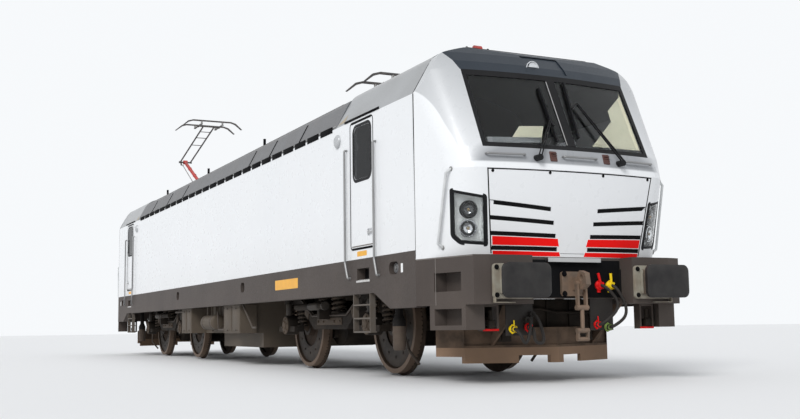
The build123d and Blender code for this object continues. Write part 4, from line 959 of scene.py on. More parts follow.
@dataclass
class NoseFace:
    """Stripes, painted shade in the slots, screws, joint and fittings of the bowed nose panel."""

    louvres: tuple[tuple[float, float, float, float], ...] = (
        (1.018, 1.884, 0.300, 1.822), (0.998, 1.724, 0.254, 1.680),
        (0.976, 1.563, 0.222, 1.544), (0.956, 1.412, 0.194, 1.405))
    louvre_height: float = 0.046
    stripes: tuple[tuple[Pair, ...], ...] = (
        ((0.965, 1.5155), (0.190, 1.4965), (0.170, 1.4055), (0.955, 1.4135)),
        ((0.949, 1.3645), (0.162, 1.3565), (0.148, 1.300), (0.940, 1.300)))
    screws: tuple[float, ...] = (-1.004, -0.343, 0.343, 1.004)
    screw_height: float = 2.178
    screw_axis: Point = (0.98, 0, -0.17)
    joint: tuple[Pair, ...] = ((0.963, 1.331), (1.067, 2.205))
    joint_width: float = 0.013
    fittings: tuple[Point, ...] = ((9.085, -0.276, 2.355), (9.075, 0.420, 2.363))

    def halves(self, shape: Shape, corners: Iterable[Pair], lift: float, thickness: float) -> None:
        """The same thin plate on both sides of the middle, standing off the face.

        Args:
            shape: Where it is added.
            corners: Its corners across and above the rail, on the left side.
            lift: Distance out of the face.
            thickness: Its thickness.
        """
        outline = raised(corners)
        place = FRONT_VIEW.copy()
        place.translation = (lift, 0, 0)
        shape.plate(outline, place, thickness)
        shape.plate([(-across, height) for across, height in reversed(outline)], place, thickness)

    def inset(self, corners: tuple[Pair, ...], width: float) -> list[Pair]:
        """A stripe's outline drawn in by a width on every side."""
        (x1, z1), (x2, z2), (x3, z3), (x4, z4) = corners
        return [(x1 - width, z1 - width), (x2 + width, z2 - width), (x3 + width, z3 + width),
                (x4 - width, z4 + width)]

    def build(self) -> None:
        """Builds everything that lies on the face."""
        face = Skin("nose_panels", "cab_shell_front")
        white, red, slot_shadow_plates, joint, screws, fittings, tabs = (Shape() for _ in range(7))
        for corners in self.stripes:
            self.halves(white, corners, 0.0006, 0.0009)
            self.halves(red, self.inset(corners, 0.0055), 0.0014, 0.0012)
        # Black plates on the louvre slots' floors are painted shade in the slots.
        for outer_y, outer_z, inner_y, inner_z in self.louvres:
            low = self.louvre_height - 0.002
            self.halves(slot_shadow_plates, [(outer_y - 0.002, outer_z - 0.002), (inner_y + 0.002, inner_z - 0.002),
                                 (inner_y + 0.002, inner_z - low),
                                 (outer_y - 0.002, outer_z - low)], 0.0, 0.003)
        (low_y, low_z), (high_y, high_z), wide = *self.joint, self.joint_width
        self.halves(joint, [(low_y, low_z), (high_y, high_z), (high_y - wide, high_z), (low_y - wide, low_z)],
                    0.0004, 0.001)
        joint.plate(raised(rectangle(-high_y, high_z - wide, high_y, high_z)), FRONT_VIEW, 0.0014)
        for shape in (white, red, slot_shadow_plates, joint):
            shape.divide(LEFT, -1.04, 1.04, 0.08)
            shape.drape(face, AHEAD)
        for across in self.screws:
            foot = face.point(Vector((0, across, above_rail(self.screw_height))), Vector(AHEAD))
            screws.lathe(tuple(foot), self.screw_axis, [
                (0, -0.002), (0.017, -0.002), (0.017, 0.003), (0.011, 0.006), (0.005, 0.004), (0, 0.004)], 16)
        for station, across, height in self.fittings:
            fittings.block((station, across, above_rail(height)), (0.05, 0.085, 0.115), 0.008, tilted(-14))
            for row in range(4):
                fittings.block((station + 0.026, across, above_rail(height - 0.036 + row * 0.024)),
                               (0.012, 0.07, 0.008), 0.002, tilted(-14))
            tabs.block((station + 0.004, across + 0.022, above_rail(height - 0.077)), (0.05, 0.05, 0.04),
                       0.012)
        finish_all((
            (white, "nose_stripe_edges", WHITE_LINE, "white_paint"),
            (red, "nose_stripes", RED_STRIPE, "white_paint"),
            (slot_shadow_plates, "nose_louvre_painted_shade", SHADE, "black_trim"),
            (joint, "nose_panel_joint", SHADE, "black_trim"),
            (screws, "nose_panel_screws", SHADE, "black_trim"),
            (tabs, "nose_fitting_tabs", GALVANISED, "rail_steel"),
            (fittings, "nose_grille_fittings", FITTING_BROWN, "black_trim")))


@dataclass
class Windscreen:
    """Middle pillar cover, its bright strip and a painted shade line round the cap's recess."""

    pillar: tuple[float, float, float, float] = (-0.068, 2.492, 0.050, 3.288)
    strip: tuple[float, float, float, float] = (-0.066, 2.500, -0.055, 3.280)
    recess: tuple[Pair, ...] = ((-0.275, 3.396), (0.275, 3.396), (0.250, 3.614), (-0.250, 3.614))

    def build(self) -> None:
        """Builds the pillar cover, the strip and the painted shade line round the recess."""
        screen = Skin("windscreen_frames", "windscreens")
        cover, strip, line = (Shape() for _ in range(3))
        cover.plate(raised(rectangle(*self.pillar)), FRONT_VIEW, 0.006)
        strip.plate(raised(rectangle(*self.strip)), FRONT_VIEW, 0.0085)
        for shape in (cover, strip):
            shape.divide(UP, 2.6, 3.3, 0.1)
            shape.drape(screen, AHEAD)
        # A black band round the cap's recess is painted shade at its edge.
        line.band(raised(self.recess), FRONT_VIEW, 0.006, 0.002)
        line.drape(Skin("cab_caps"), AHEAD)
        finish_all(((cover, "windscreen_pillar_cover", BLACK, "black_trim"),
                    (strip, "windscreen_pillar_strip", BARE_STEEL, "black_trim"),
                    (line, "cap_recess_shade_line", SHADE, "black_trim")))


@dataclass
class Headlamps:
    """Reflectors, liners and cover glass of the corner lamps, and the top lamp.

    Each rim of the lamp's frame is a line: its start across, its height there and its slope.
    """

    origin: Point = (8.880, 1.190, 1.728)
    across: Point = (-0.507, 0.862, 0.0)
    out: Point = (0.862, 0.507, -0.147)
    opening: tuple[Pair, ...] = (
        (-0.144, 0.201), (-0.144, -0.262), (0.094, -0.240), (0.158, -0.180), (0.158, 0.262))
    rubber: tuple[Pair, ...] = (
        (-0.186, 0.238), (-0.186, -0.308), (0.108, -0.281), (0.202, -0.198), (0.202, 0.312))
    rim_reach: Pair = (-0.150, 0.166)
    top_rim: Point = (-0.172, 0.210, 0.201)
    low_rims: tuple[Point, Point] = ((-0.172, -0.275, 0.094), (0.105, -0.249, 0.938))
    back: float = 0.0895
    lamps: tuple[Point, ...] = ((0.010, 0.082, 0.092), (0.018, -0.112, 0.090))
    top_lamp: Point = (8.564, -0.150, 3.452)
    top_radius: float = 0.084

    def depth(self, skin: Skin, place: Matrix, u: float, v: float) -> float:
        """Height of the nose's curved face over the lamp's plane, between the frame's two rims.

        Args:
            skin: The lamp's frame.
            place: Matrix of the lamp's plane.
            u: Place across.
            v: Place up.
        Returns:
            The height.
        """
        u = min(max(u, self.rim_reach[0]), self.rim_reach[1])
        low, top = (max(height + slope * (u - start) for start, height, slope in lines)
                    for lines in (self.low_rims, (self.top_rim,)))
        normal = place.to_3x3() @ Vector(UP)
        rims = []
        for rim in (low, top):
            base = place @ Vector((u, rim, 0))
            hit = skin.tree.ray_cast(base + normal * 0.5, -normal)[0]
            rims.append((hit - base).dot(normal) if hit else 0.0)
        share = (v - low) / (top - low)
        return rims[0] + (rims[1] - rims[0]) * min(max(share, 0.0), 1.0)

    def build(self) -> None:
        """Builds the lamps."""
        skin = Skin("headlamps")
        place = facing(self.out, self.across, self.origin)
        glass, liner, bowls, dark, lenses, bulbs = (Shape() for _ in range(6))
        floor = Matrix.Translation((0, 0, -self.back))
        glass.plate(self.opening, Matrix.Identity(4), 0.004)
        liner.band(self.opening, floor, 0.004, 0.08)
        for shape in (glass, liner):
            shape.divide(AHEAD, -0.12, 0.15, 0.03)
            shape.divide(LEFT, -0.24, 0.24, 0.06)
        for vert in glass.bm.verts:
            vert.co.z += self.depth(skin, place, vert.co.x, vert.co.y) - 0.008
        for vert in liner.bm.verts:
            if vert.co.z > -0.05:
                vert.co.z = self.depth(skin, place, vert.co.x, vert.co.y) - 0.012
        liner.plate([(u * 0.98, v * 0.98) for u, v in self.opening], floor, 0.002)
        for row in range(7):
            liner.block((-0.128, -0.21 + row * 0.06, -0.075), (0.012, 0.04, 0.02), 0.002)
        for index, (u, v, radius) in enumerate(self.lamps):
            bowl = [(radius + 0.003, -0.088), (radius + 0.003, -0.028), (radius - 0.002, -0.024),
                    (radius - 0.010, -0.030), (radius - 0.028, -0.042), (0.035, -0.052), (0.020, -0.056),
                    (0, -0.056)]
            (dark if index == 0 else bowls).lathe((u, v, 0), UP, bowl, 40)
            bulbs.lathe((u, v, 0), UP, [(0.016, -0.056), (0.016, -0.040), (0.010, -0.030), (0, -0.027)], 20)
            lenses.lathe((u, v, 0), UP,
                         [(radius - 0.011, -0.022), (radius - 0.02, -0.017), (0.03, -0.011), (0, -0.009)], 32)
        self.surround(place)
        for shape in (glass, liner, bowls, dark, lenses, bulbs):
            shape.move(place)
        finish_all(((glass, "headlamp_covers", LAMP_GLASS, "lamp_glass"),
                    (liner, "headlamp_liners", LAMP_BODY, "lamp_glass"),
                    (bowls, "headlamp_reflectors", REFLECTOR, "lamp_glass"),
                    (dark, "marker_reflectors", DARK_CHROME, "lamp_glass"),
                    (lenses, "headlamp_lenses", LAMP_GLASS, "lamp_glass"),
                    (bulbs, "headlamp_bulbs", BULB, "lamp_glass")), left=True)
        self.top()

    def surround(self, place: Matrix) -> None:
        """Builds the rubber round the lamp's frame, on the nose's face.

        Args:
            place: Matrix of the lamp's plane.
        """
        plane = facing(self.out, self.across)
        shift = plane.inverted() @ place.translation
        outline = [(u + shift.x, v + shift.y) for u, v in self.rubber]
        rubber = Shape()
        rubber.band(outline, plane, 0.027, 0.0025, 0.034)
        rubber.divide(UP, 1.35, 2.10, 0.05)
        rubber.drape(Skin("cab_shell_front", "headlamps"), tuple(plane.to_3x3() @ Vector(UP)))
        finish_all([(rubber, "headlamp_rubbers", BLACK, "black_trim")], left=True)

    def top(self) -> None:
        """Builds the lamp in the cap."""
        station, across, height = self.top_lamp
        foot = (station, across, above_rail(height))
        lamp, lens = Shape(), Shape()
        lamp.lathe(foot, AHEAD, [(self.top_radius + 0.001, -0.06), (self.top_radius + 0.001, 0.003),
                                 (self.top_radius - 0.008, 0.005), (self.top_radius - 0.012, 0.001),
                                 (0, 0.001)], 40)
        lens.lathe(foot, AHEAD, [
            (self.top_radius - 0.013, 0.002), (self.top_radius - 0.02, 0.010), (0.03, 0.017), (0, 0.019)], 36)
        finish_all(((lamp, "top_lamp_bezel", REFLECTOR, "lamp_glass"),
                    (lens, "top_lamp_lens", LAMP_GLASS, "lamp_glass")))


@dataclass
class BufferGear:
    """Buffers with a bolted flange, a box housing and a crowned plate."""

    across: float = 0.885
    height: float = 1.058
    headstock: float = 9.190
    flange: Point = (0.480, 0.356, 0.040)
    housing: Point = (0.320, 0.270, 0.210)
    plate: Point = (0.560, 0.350, 0.050)
    crown: float = 0.012

    def slab(self, size: Point, station: float, corner: float, crown: float = 0.0) -> Shape:
        """A rounded slab in front of the right-hand headstock.

        Args:
            size: Its width, height and thickness.
            station: Where its back face lies.
            corner: Radius of its corners.
            crown: How far its front is crowned.
        Returns:
            The slab.
        """
        wide, tall, thick = size
        shape = Shape()
        place = facing(AHEAD, LEFT, (station, -self.across, self.height))
        shape.plate(centred(wide, tall), place, thick - crown, 0.004, corner, crown)
        return shape

    def build(self) -> None:
        """Builds the four buffers."""
        flange = self.slab(self.flange, self.headstock, 0.04)
        housing = self.slab(self.housing, self.headstock + self.flange[2], 0.025)
        plate = self.slab(self.plate, self.headstock + self.flange[2] + self.housing[2], 0.07, self.crown)
        front = self.headstock + self.flange[2]
        low = self.height - self.flange[1] / 2
        left = -self.across - self.flange[0] / 2
        flange.block((front - 0.005, left + 0.006, low - 0.012), (0.05, 0.012, 0.05), 0.004)
        flange.block((front - 0.005, left + 0.12, low - 0.036), (0.05, 0.236, 0.010), 0.004)
        for side in (-1, 1):
            flange.block((front + 0.02, -self.across + side * 0.172, self.height), (0.044, 0.016, 0.25),
                         0.005)
        bolts = Shape()
        bolts.bolts([(front, -self.across + y, self.height + z) for y in (-0.208, 0.208)
                     for z in (-0.140, 0.140)],
                    AHEAD, 0.017, 0.022)
        bolts.bolts([(front + 0.16, -self.across + y, self.height + 0.135) for y in (-0.1, 0.1)], UP, 0.013,
                    0.014)
        _, _, plates, _ = finish_all(((flange, "buffer_flanges", FLANGE_GREEN, "frame_grey"),
                                      (housing, "buffer_housings", HOUSING_BROWN, "frame_grey"),
                                      (plate, "buffer_plates", BUFFER_BLACK, "black_trim"),
                                      (bolts, "buffer_bolts", SHADE, "black_trim")), left=True)
        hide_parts("buffers")


@dataclass
class FrontPipes:
    """Cocks with coloured handles, the ploughs' bracket edges, feet and back plates, and painted shade over
    the beam's front.
    """

    red: tuple[Point, ...] = ((8.980, 0.336, 1.000), (9.000, -0.600, 0.562), (8.980, 0.290, 0.580))
    yellow: tuple[Point, ...] = ((8.980, 0.479, 1.000), (9.000, -0.790, 0.547))
    green: tuple[Point, ...] = ((8.980, 0.430, 0.550),)

    def cocks(self, name: str, places: tuple[Point, ...], surface: Finish, lean: float) -> None:
        """Cocks of one colour.

        Args:
            name: Name of the piece.
            places: Foot, side and height of each.
            surface: Its finish.
            lean: How far the handle's top leans across.
        """
        shape = Shape()
        for station, across, height in places:
            z = above_rail(height)
            large = height > 0.9
            radius = 0.046 if large else 0.037
            shape.lathe((station, across, z), AHEAD, [(0, 0.001), (radius, 0.001), (radius + 0.006, 0.012),
                                                      (radius + 0.006, 0.030), (radius - 0.008, 0.040),
                                                      (radius - 0.008, 0.056), (radius - 0.014, 0.064),
                                                      (0, 0.064)], 20)
            shape.bolts([(station + 0.03, across + radius * cos(a), z + radius * sin(a))
                         for a in (0.5, 1.8, 3.1, 4.4, 5.7)], AHEAD, 0.010, 0.016)
            if large:
                shape.rod((station + 0.05, across, z + 0.02), (station + 0.055, across + lean, z + 0.13),
                          0.013, 10, 0.016)
                shape.rod((station + 0.01, across, z - 0.03), (station + 0.01, across, z - 0.075), 0.022, 12)
            elif surface is not COCK_GREEN:
                shape.rod((station + 0.05, across, z), (station + 0.055, across + lean * 0.3, z + 0.09),
                          0.007, 8)
        finish_all([(shape, name, surface, "hose_rubber")])

    def build(self) -> None:
        """Builds the pipes' fittings."""
        self.cocks("red_cocks", self.red, COCK_RED, -0.035)
        self.cocks("yellow_cocks", self.yellow, COCK_YELLOW, -0.012)
        self.cocks("green_cocks", self.green, COCK_GREEN, 0.0)
        edges, beam, feet, back = (Shape() for _ in range(4))
        for side in (-1, 1):
            edges.block((8.9505, side * 1.005, above_rail(0.541)), (0.003, 0.19, 0.022), 0.001)
            feet.block((8.93, side * 1.005, above_rail(0.60)), (0.10, 0.07, 0.08), 0.012)
            feet.rod((8.94, side * 1.005, above_rail(0.64)), (8.94, side * 1.005, above_rail(0.74)), 0.022,
                     14)
        # Painted shade: a thin black plate over the beam's front between the consoles, with black ribs and
        # bolts.
        beam.block((8.9825, 0, above_rail(1.07)), (0.005, 1.262, 0.40), 0.002)
        for across in (-0.56, -0.32, 0.62):
            beam.block((8.995, across, above_rail(1.03)), (0.022, 0.02, 0.30), 0.004)
        beam.bolts([(9.02, y, above_rail(z)) for y in (-0.13, 0.13) for z in (0.91, 1.12)], AHEAD, 0.02,
                   0.022)
        back.block((8.46, 0, above_rail(0.64)), (0.016, 1.24, 0.46), 0.004)
        for across in (-0.58, -0.30, 0.0, 0.30, 0.58):
            back.block((8.475, across, above_rail(0.64)), (0.03, 0.014, 0.44), 0.003)
        for height in (0.52, 0.76):
            back.pipe([(8.50, across, above_rail(height - drop))
                       for across, drop in ((-0.56, 0), (-0.10, 0), (0.10, 0.04), (0.56, 0.04))], 0.016, 10)
        finish_all(((edges, "bracket_red_edges", COCK_RED, "frame_grey"),
                    (beam, "beam_front_painted_shade", SHADE, "frame_grey"),
                    (feet, "bracket_feet", GEAR_GREY, "frame_grey"),
                    (back, "plough_back_plates", GEAR_GREY, "frame_grey")))


@dataclass
class BrakeHoses:
    """Hanging brake hoses, and the cocks' bodies and plates that they leave and go back into.

    Each route is the root's station, then the side and height of the cock, of the loop's points and of
    the holder, then the length.
    """

    radius: float = 0.017
    body_radius: float = 0.032
    body_reach: float = 0.060
    routes: tuple[tuple[float, tuple[Pair, ...], float], ...] = (
        (8.980, ((0.336, 1.000), (0.545, 0.780), (0.290, 0.580)), 0.656),
        (8.980, ((0.479, 1.000), (0.645, 0.700), (0.430, 0.550)), 0.652),
        (9.000, ((-0.790, 0.547), (-0.700, 0.350), (-0.620, 0.640)), 0.520),
        (9.000, ((-0.600, 0.562), (-0.600, 0.400), (-0.460, 0.400), (-0.560, 0.700)), 0.644))

    def hose(self, name: str, points: list[Vector]) -> bpy.types.Object:
        """One hose, as a tube along a smooth curve.

        Args:
            name: Name of the piece.
            points: What the curve is drawn towards, from the cock to the holder.
        Returns:
            The piece.
        """
        curve = bpy.data.curves.new(name, "CURVE")
        curve.dimensions = "3D"
        curve.bevel_depth = self.radius
        curve.bevel_resolution = 5
        curve.resolution_u = 16
        line = curve.splines.new("NURBS")
        line.points.add(len(points) - 1)
        for place, point in zip(line.points, points):
            place.co = (*point, 1.0)
        line.order_u = 3
        line.use_endpoint_u = True
        curve.materials.append(HOSE.material())
        piece = add_object(name, curve)
        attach(piece, "body")
        return piece

    def build(self) -> None:
        """Builds the holders and both ends' hoses."""
        holders = Shape()
        for across, wide, low, high, station in ((-0.69, 0.33, 0.48, 0.80, 8.9925),
                                                 (0.36, 0.30, 0.52, 0.86, 8.9875)):
            holders.block((station, across, above_rail((low + high) / 2)), (0.015, wide, high - low), 0.002)
        made = []
        radius, reach = self.body_radius, self.body_reach
        body = [(0, 0), (radius, 0), (radius, reach - 0.006), (radius - 0.006, reach), (0, reach)]
        for number, (root, stops, length) in enumerate(self.routes, 1):
            for across, height in (stops[0], stops[-1]):
                foot = (root, across, above_rail(height))
                holders.lathe(foot, AHEAD, body, 24)
            near = root + reach - 0.020
            ahead = (0, 0.090, *(0.095,) * (len(stops) - 2), 0.090, 0)
            points = [Vector((near + out, across, above_rail(height)))
                      for out, (across, height) in zip(ahead, (stops[0], *stops, stops[-1]))]
            for end, turn in (("front", 0.0), ("rear", pi)):
                turned = [Matrix.Rotation(turn, 3, "Z") @ point for point in points]
                hose = self.hose(f"brake_hose_{end}_{number}", turned)
                made.append(hose)
        for piece in made + finish_all([(holders, "hose_holders", HOSE, "hose_rubber")]):
            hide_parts("brake_hoses")


@dataclass
class NoseSides:
    """Corner handrails, cheek seams and the joint between the nose and the sides."""

    rail_ends: tuple[Pair, ...] = ((8.828, 2.208), (8.805, 2.165), (8.632, 1.440), (8.640, 1.400))
    rail_out: float = 0.046
    rail_radius: float = 0.015
    seam_station: float = 8.250
    cheek_seam: float = 8.572

    def build(self) -> None:
        """Builds the rails and the seams."""
        skin = Skin("cab_shell_front")
        rails, studs, seams, cheek, over = (Shape() for _ in range(5))
        points = []
        for index, (station, height) in enumerate(self.rail_ends):
            foot = skin.point(Vector((station, 0, above_rail(height))), Vector(RIGHT))
            out = self.rail_out if index in (1, 2) else -0.002
            points.append((foot.x + out * 0.2, foot.y - out * 0.98, foot.z))
        rails.pipe(points, self.rail_radius, 14)
        for point in (points[0], points[-1]):
            studs.rod(point, (point[0] + 0.001, point[1] - 0.008, point[2]), 0.024, 16)
        seam = self.seam_station
        seams.plate(raised(rectangle(seam - 0.009, 1.305, seam + 0.009, 3.36)), SIDE_VIEW, 0.0015)
        seams.divide(UP, 3.14, 3.36, 0.03)
        seams.drape(Skin("cab_shell_front", "side_wall_right", "cab_roofs"), RIGHT)
        over.plate(rectangle(seam - 0.007, -1.42, seam + 0.007, 1.42), Matrix.Identity(4), 0.0015)
        over.divide(LEFT, -1.40, 1.40, 0.04)
        over.drape(Skin("cab_shell_front", "cab_roofs"), UP)
        cheek.plate(raised(rectangle(self.cheek_seam - 0.003, 0.80, self.cheek_seam + 0.003, 1.29)),
                    SIDE_VIEW, 0.0015)
        cheek.plate(raised(rectangle(8.262, 1.288, 9.14, 1.296)), SIDE_VIEW, 0.0015)
        cheek.drape(Skin("headstocks"), RIGHT)
        finish_all(((rails, "nose_corner_rails", WHITE_RAIL, "white_paint"),
                    (studs, "nose_rail_studs", GALVANISED, "rail_steel"),
                    (seams, "nose_side_joints", SHADE, "black_trim"),
                    (cheek, "cheek_seams", SEAM_GREY, "sill_grey")), left=True)
        finish_all([(over, "nose_roof_joints", SHADE, "black_trim")])


@dataclass
class BodySides:
    """Blank plates, socket plugs, pocket lips, domes, seals, and painted shade under the doors and in the
    pockets, on the sides.
    """

    door: tuple[float, float, float, float] = (6.504, 1.514, 7.196, 3.096)
    plate_under_door: tuple[float, float, float, float] = (6.700, 1.432, 6.980, 1.492)
    sill_plate: tuple[float, float, float, float] = (3.690, 1.135, 4.640, 1.275)
    white_plate: tuple[float, float, float, float] = (7.895, 1.180, 7.945, 1.280)
    dome: Pair = (6.120, 2.935)
    drip: Pair = (6.353, 7.371)
    pocket: float = 6.865
    patch: tuple[Pair, ...] = ((6.085, 3.150), (6.300, 3.150), (6.270, 3.262))

    def build(self) -> None:
        """Builds the pieces on both sides and both ends."""
        place = on_side()
        seals, orange, white, lips, plugs, drips, domes, dark, sill, patch = (Shape() for _ in range(10))
        seals.band(raised(rectangle(*self.door)), place, 0.013, 0.003, 0.064)
        # The black strip under each door is a painted shadow; the one along its top is a black seal.
        for low, high in ((1.512, 1.538), (3.068, 3.096)):
            seals.plate(raised(rectangle(6.56, low, 7.14, high)), place, 0.005, 0.001)
        orange.plate(raised(rectangle(*self.plate_under_door)), place, 0.0015, 0.0, 0.008)
        white.plate(raised(rectangle(*self.white_plate)), place, 0.0015, 0.0, 0.004)
        lips.plate(raised(rectangle(6.672, 1.118, 7.058, 1.142)), place, 0.008, 0.003)
        lips.block((self.pocket, 0.05 - HALF_WIDTH, above_rail(1.146)), (0.34, 0.09, 0.006), 0.001)
        # Painted shade: a thin black sheet at the back of the step pocket.
        dark.block((self.pocket, 0.106 - HALF_WIDTH, above_rail(1.215)), (0.34, 0.004, 0.13), 0.001)
        plugs.lathe((7.700, -HALF_WIDTH + 0.075, above_rail(1.240)), RIGHT,
                    [(0, 0), (0.060, 0), (0.060, 0.035), (0.050, 0.045), (0.046, 0.045), (0.046, 0.036),
                     (0.022, 0.036), (0.018, 0.048), (0, 0.050)], 28)
        drips.plate(raised(rectangle(self.drip[0], 3.118, self.drip[1], 3.146)), place, 0.010, 0.003)
        domes.lathe((self.dome[0], -HALF_WIDTH, above_rail(self.dome[1])), RIGHT,
                    [(0, 0), (0.088, 0), (0.088, 0.012), (0.078, 0.026), (0.055, 0.040), (0.02, 0.047),
                     (0, 0.048)], 32)
        finish_all((
            (seals, "door_seals_and_shadow", SHADE, "black_trim"), (orange, "door_plates", ORANGE_PLATE, "white_paint"),
            (white, "socket_plates", WHITE_LINE, "white_paint"),
            (lips, "pocket_lips", PALE_LIP, "rail_steel"), (plugs, "socket_plugs", PLUG_GREY, "frame_grey"),
            (drips, "door_drip_strips", SHADE, "black_trim"), (domes, "side_domes", DOME, "rail_steel"),
            (dark, "pocket_painted_shade", SHADE, "black_trim")), left=True)
        sill.plate(raised(rectangle(*self.sill_plate)), place, 0.0015, 0.0, 0.01)
        finish_all([(sill, "sill_plates", ORANGE_PLATE, "sill_grey")])
        patch.plate(raised(self.patch), SIDE_VIEW, 0.002)
        patch.drape(Skin("cab_roofs"), RIGHT)
        finish_all([(patch, "roof_corner_patches", PRIMER, "silver_paint")], left=True)


@dataclass
class Doors:
    """Window glass, its black surround, the lever and the kick strip of each door."""

    window: Pair = (6.865, 2.690)
    glass: Pair = (0.498, 0.638)
    surround: Pair = (0.560, 0.715)

    def build(self) -> None:
        """Builds the fittings of the four doors."""
        for end, end_name in ((1, "front"), (-1, "rear")):
            for side, side_name in ((-1, "right"), (1, "left")):
                self.door(end, side, f"door_{end_name}_{side_name}")

    def door(self, end: int, side: int, body: str) -> None:
        """Builds the fittings of one door.

        Args:
            end: 1 at the leading end, -1 at the other.
            side: -1 on the right side, 1 on the left.
            body: The door's body.
        """
        station, height = self.window[0], above_rail(self.window[1])
        glass, surround, lever, strip = (Shape() for _ in range(4))
        glass.plate(centred(*self.glass), on_side(station, height, HALF_WIDTH - 0.008), 0.006, 0.0, 0.09)
        surround.band(centred(*self.surround), on_side(station, height), 0.036, 0.003, 0.11)
        lever.block((7.075, 0.008 - HALF_WIDTH, above_rail(1.700)), (0.150, 0.012, 0.028), 0.005)
        lever.lathe((7.015, 0.014 - HALF_WIDTH, above_rail(1.700)), RIGHT,
                    [(0, 0), (0.02, 0), (0.02, 0.012), (0, 0.014)], 18)
        strip.block((6.850, -HALF_WIDTH - 0.001, above_rail(1.556)), (0.60, 0.004, 0.014), 0.001)
        for shape in (glass, surround, lever, strip):
            shape.move(Matrix.Diagonal((end, -side, 1, 1)))
        finish_all(((glass, f"{body}_window", DOOR_GLASS, "pane_glass"),
                    (surround, f"{body}_window_surround", BLACK, "black_trim"),
                    (lever, f"{body}_lever", BARE_STEEL, "rail_steel"),
                    (strip, f"{body}_strip", SEAM_GREY, "rail_steel")), body, ends=False)


@dataclass
class RoofLine:
    """Notched gutter lip and the dark joints of the roof hatches."""

    last_notch: float = 5.975
    pitch: float = 0.49
    notch: float = 0.075
    lips: int = 24
    joints: tuple[float, ...] = (4.62, 3.32, 2.30, -3.32, -4.75, -2.00)

    def build(self) -> None:
        """Builds the lip and the joints."""
        lip, joints, gutter = (Shape() for _ in range(3))
        for index in range(self.lips):
            high = self.last_notch - index * self.pitch - self.notch / 2
            low = high - self.pitch + self.notch
            lip.block(((low + high) / 2, -HALF_WIDTH - 0.002, above_rail(3.122)), (high - low, 0.008, 0.080),
                      0.003)
        gutter.plate(raised(rectangle(-6.03, 3.150, 6.03, 3.166)), SIDE_VIEW, 0.004)
        gutter.divide(AHEAD, -6.0, 6.0, 0.5)
        for station in self.joints:
            joints.plate(raised(rectangle(station - 0.018, 3.155, station + 0.018, 3.435)), SIDE_VIEW, 0.006)
        for shape in (gutter, joints):
            shape.drape(Skin("roof_hatch_middle", "roof_hatches_end"), RIGHT)
        finish_all(((lip, "gutter_lips", SHADE, "roof_grey"),
                    (joints, "hatch_joint_strips", SHADE, "roof_grey"),
                    (gutter, "gutter_lines", GALVANISED, "roof_grey")), left=True, ends=False)


@dataclass
class RoofFittings:
    """Deck ribs, post caps, busbar clamps, leads and covers on the deck."""

    deck: float = 3.528
    busbar_height: float = 3.888
    frame_low: float = 3.858
    front_station: float = 5.200
    rear_station: float = -5.950
    posts: tuple[float, ...] = (-3.9, -2.4, -0.9, 0.6, 2.1, 3.6)
    post_foot: tuple[Pair, ...] = ((0.09, 0), (0.09, 0.014), (0.05, 0.02))

    def build(self) -> None:
        """Builds the fittings on the deck."""
        metal, ribs, boxes, walk = (Shape() for _ in range(4))
        for station in self.posts:
            metal.lathe((station, 0, self.busbar_height - 0.012), UP,
                        [(0, -0.02), (0.05, -0.02), (0.05, 0.004), (0.03, 0.012), (0, 0.012)], 20)
            metal.block((station, 0, self.busbar_height + 0.02), (0.07, 0.06, 0.056), 0.008)
            metal.lathe((station, 0, self.deck), UP, self.post_foot, 20)
            metal.bolts([(station + x, y, self.deck + 0.014) for x in (-0.065, 0.065) for y in (-0.03, 0.03)],
                        UP, 0.010, 0.012)
        for station, turn in ((self.front_station, 1), (self.rear_station, -1)):
            for along in (-0.62, -0.02):
                for across in (-0.4, 0.4):
                    metal.lathe((station + turn * along, across, self.deck), UP, self.post_foot, 20)
            metal.pipe([(station - turn * back, across, self.frame_low + rise) for back, across, rise in (
                (0.62, 0.30, 0.03), (0.95, 0.16, -0.06), (1.25, 0.02, 0.02))], 0.012, 8)
        for index in range(-12, 13):
            for across in (0.93, -0.93):
                ribs.block((index * 0.47 + 0.1, across, self.deck + 0.006), (0.05, 0.56, 0.012), 0.004)
        for station, across in ((-1.65, 0.65), (1.35, -0.65)):
            for index in range(6):
                boxes.block((station - 0.24 + index * 0.096, across, self.deck + 0.196), (0.03, 0.34, 0.012),
                            0.004)
            boxes.band(centred(0.636, 0.396), Matrix.Translation((station, across, self.deck)), 0.02, 0.02,
                       0.04)
        for side in (-1, 1):
            walk.block((0.0, side * 1.27, self.deck + 0.004), (11.6, 0.03, 0.008), 0.003)
            for station in (2.43, -0.9, -4.2):
                walk.rod((station, side * 1.25, self.deck), (station, side * 1.25, self.deck + 0.12), 0.022,
                         12)
        finish_all(((metal, "busbar_clamps", CONDUCTOR, "busbar_metal"),
                    (ribs, "deck_ribs", ROOF_GREY, "roof_grey"),
                    (boxes, "deck_box_covers", GALVANISED, "busbar_metal"),
                    (walk, "deck_edges", SHADE, "roof_grey")), ends=False)


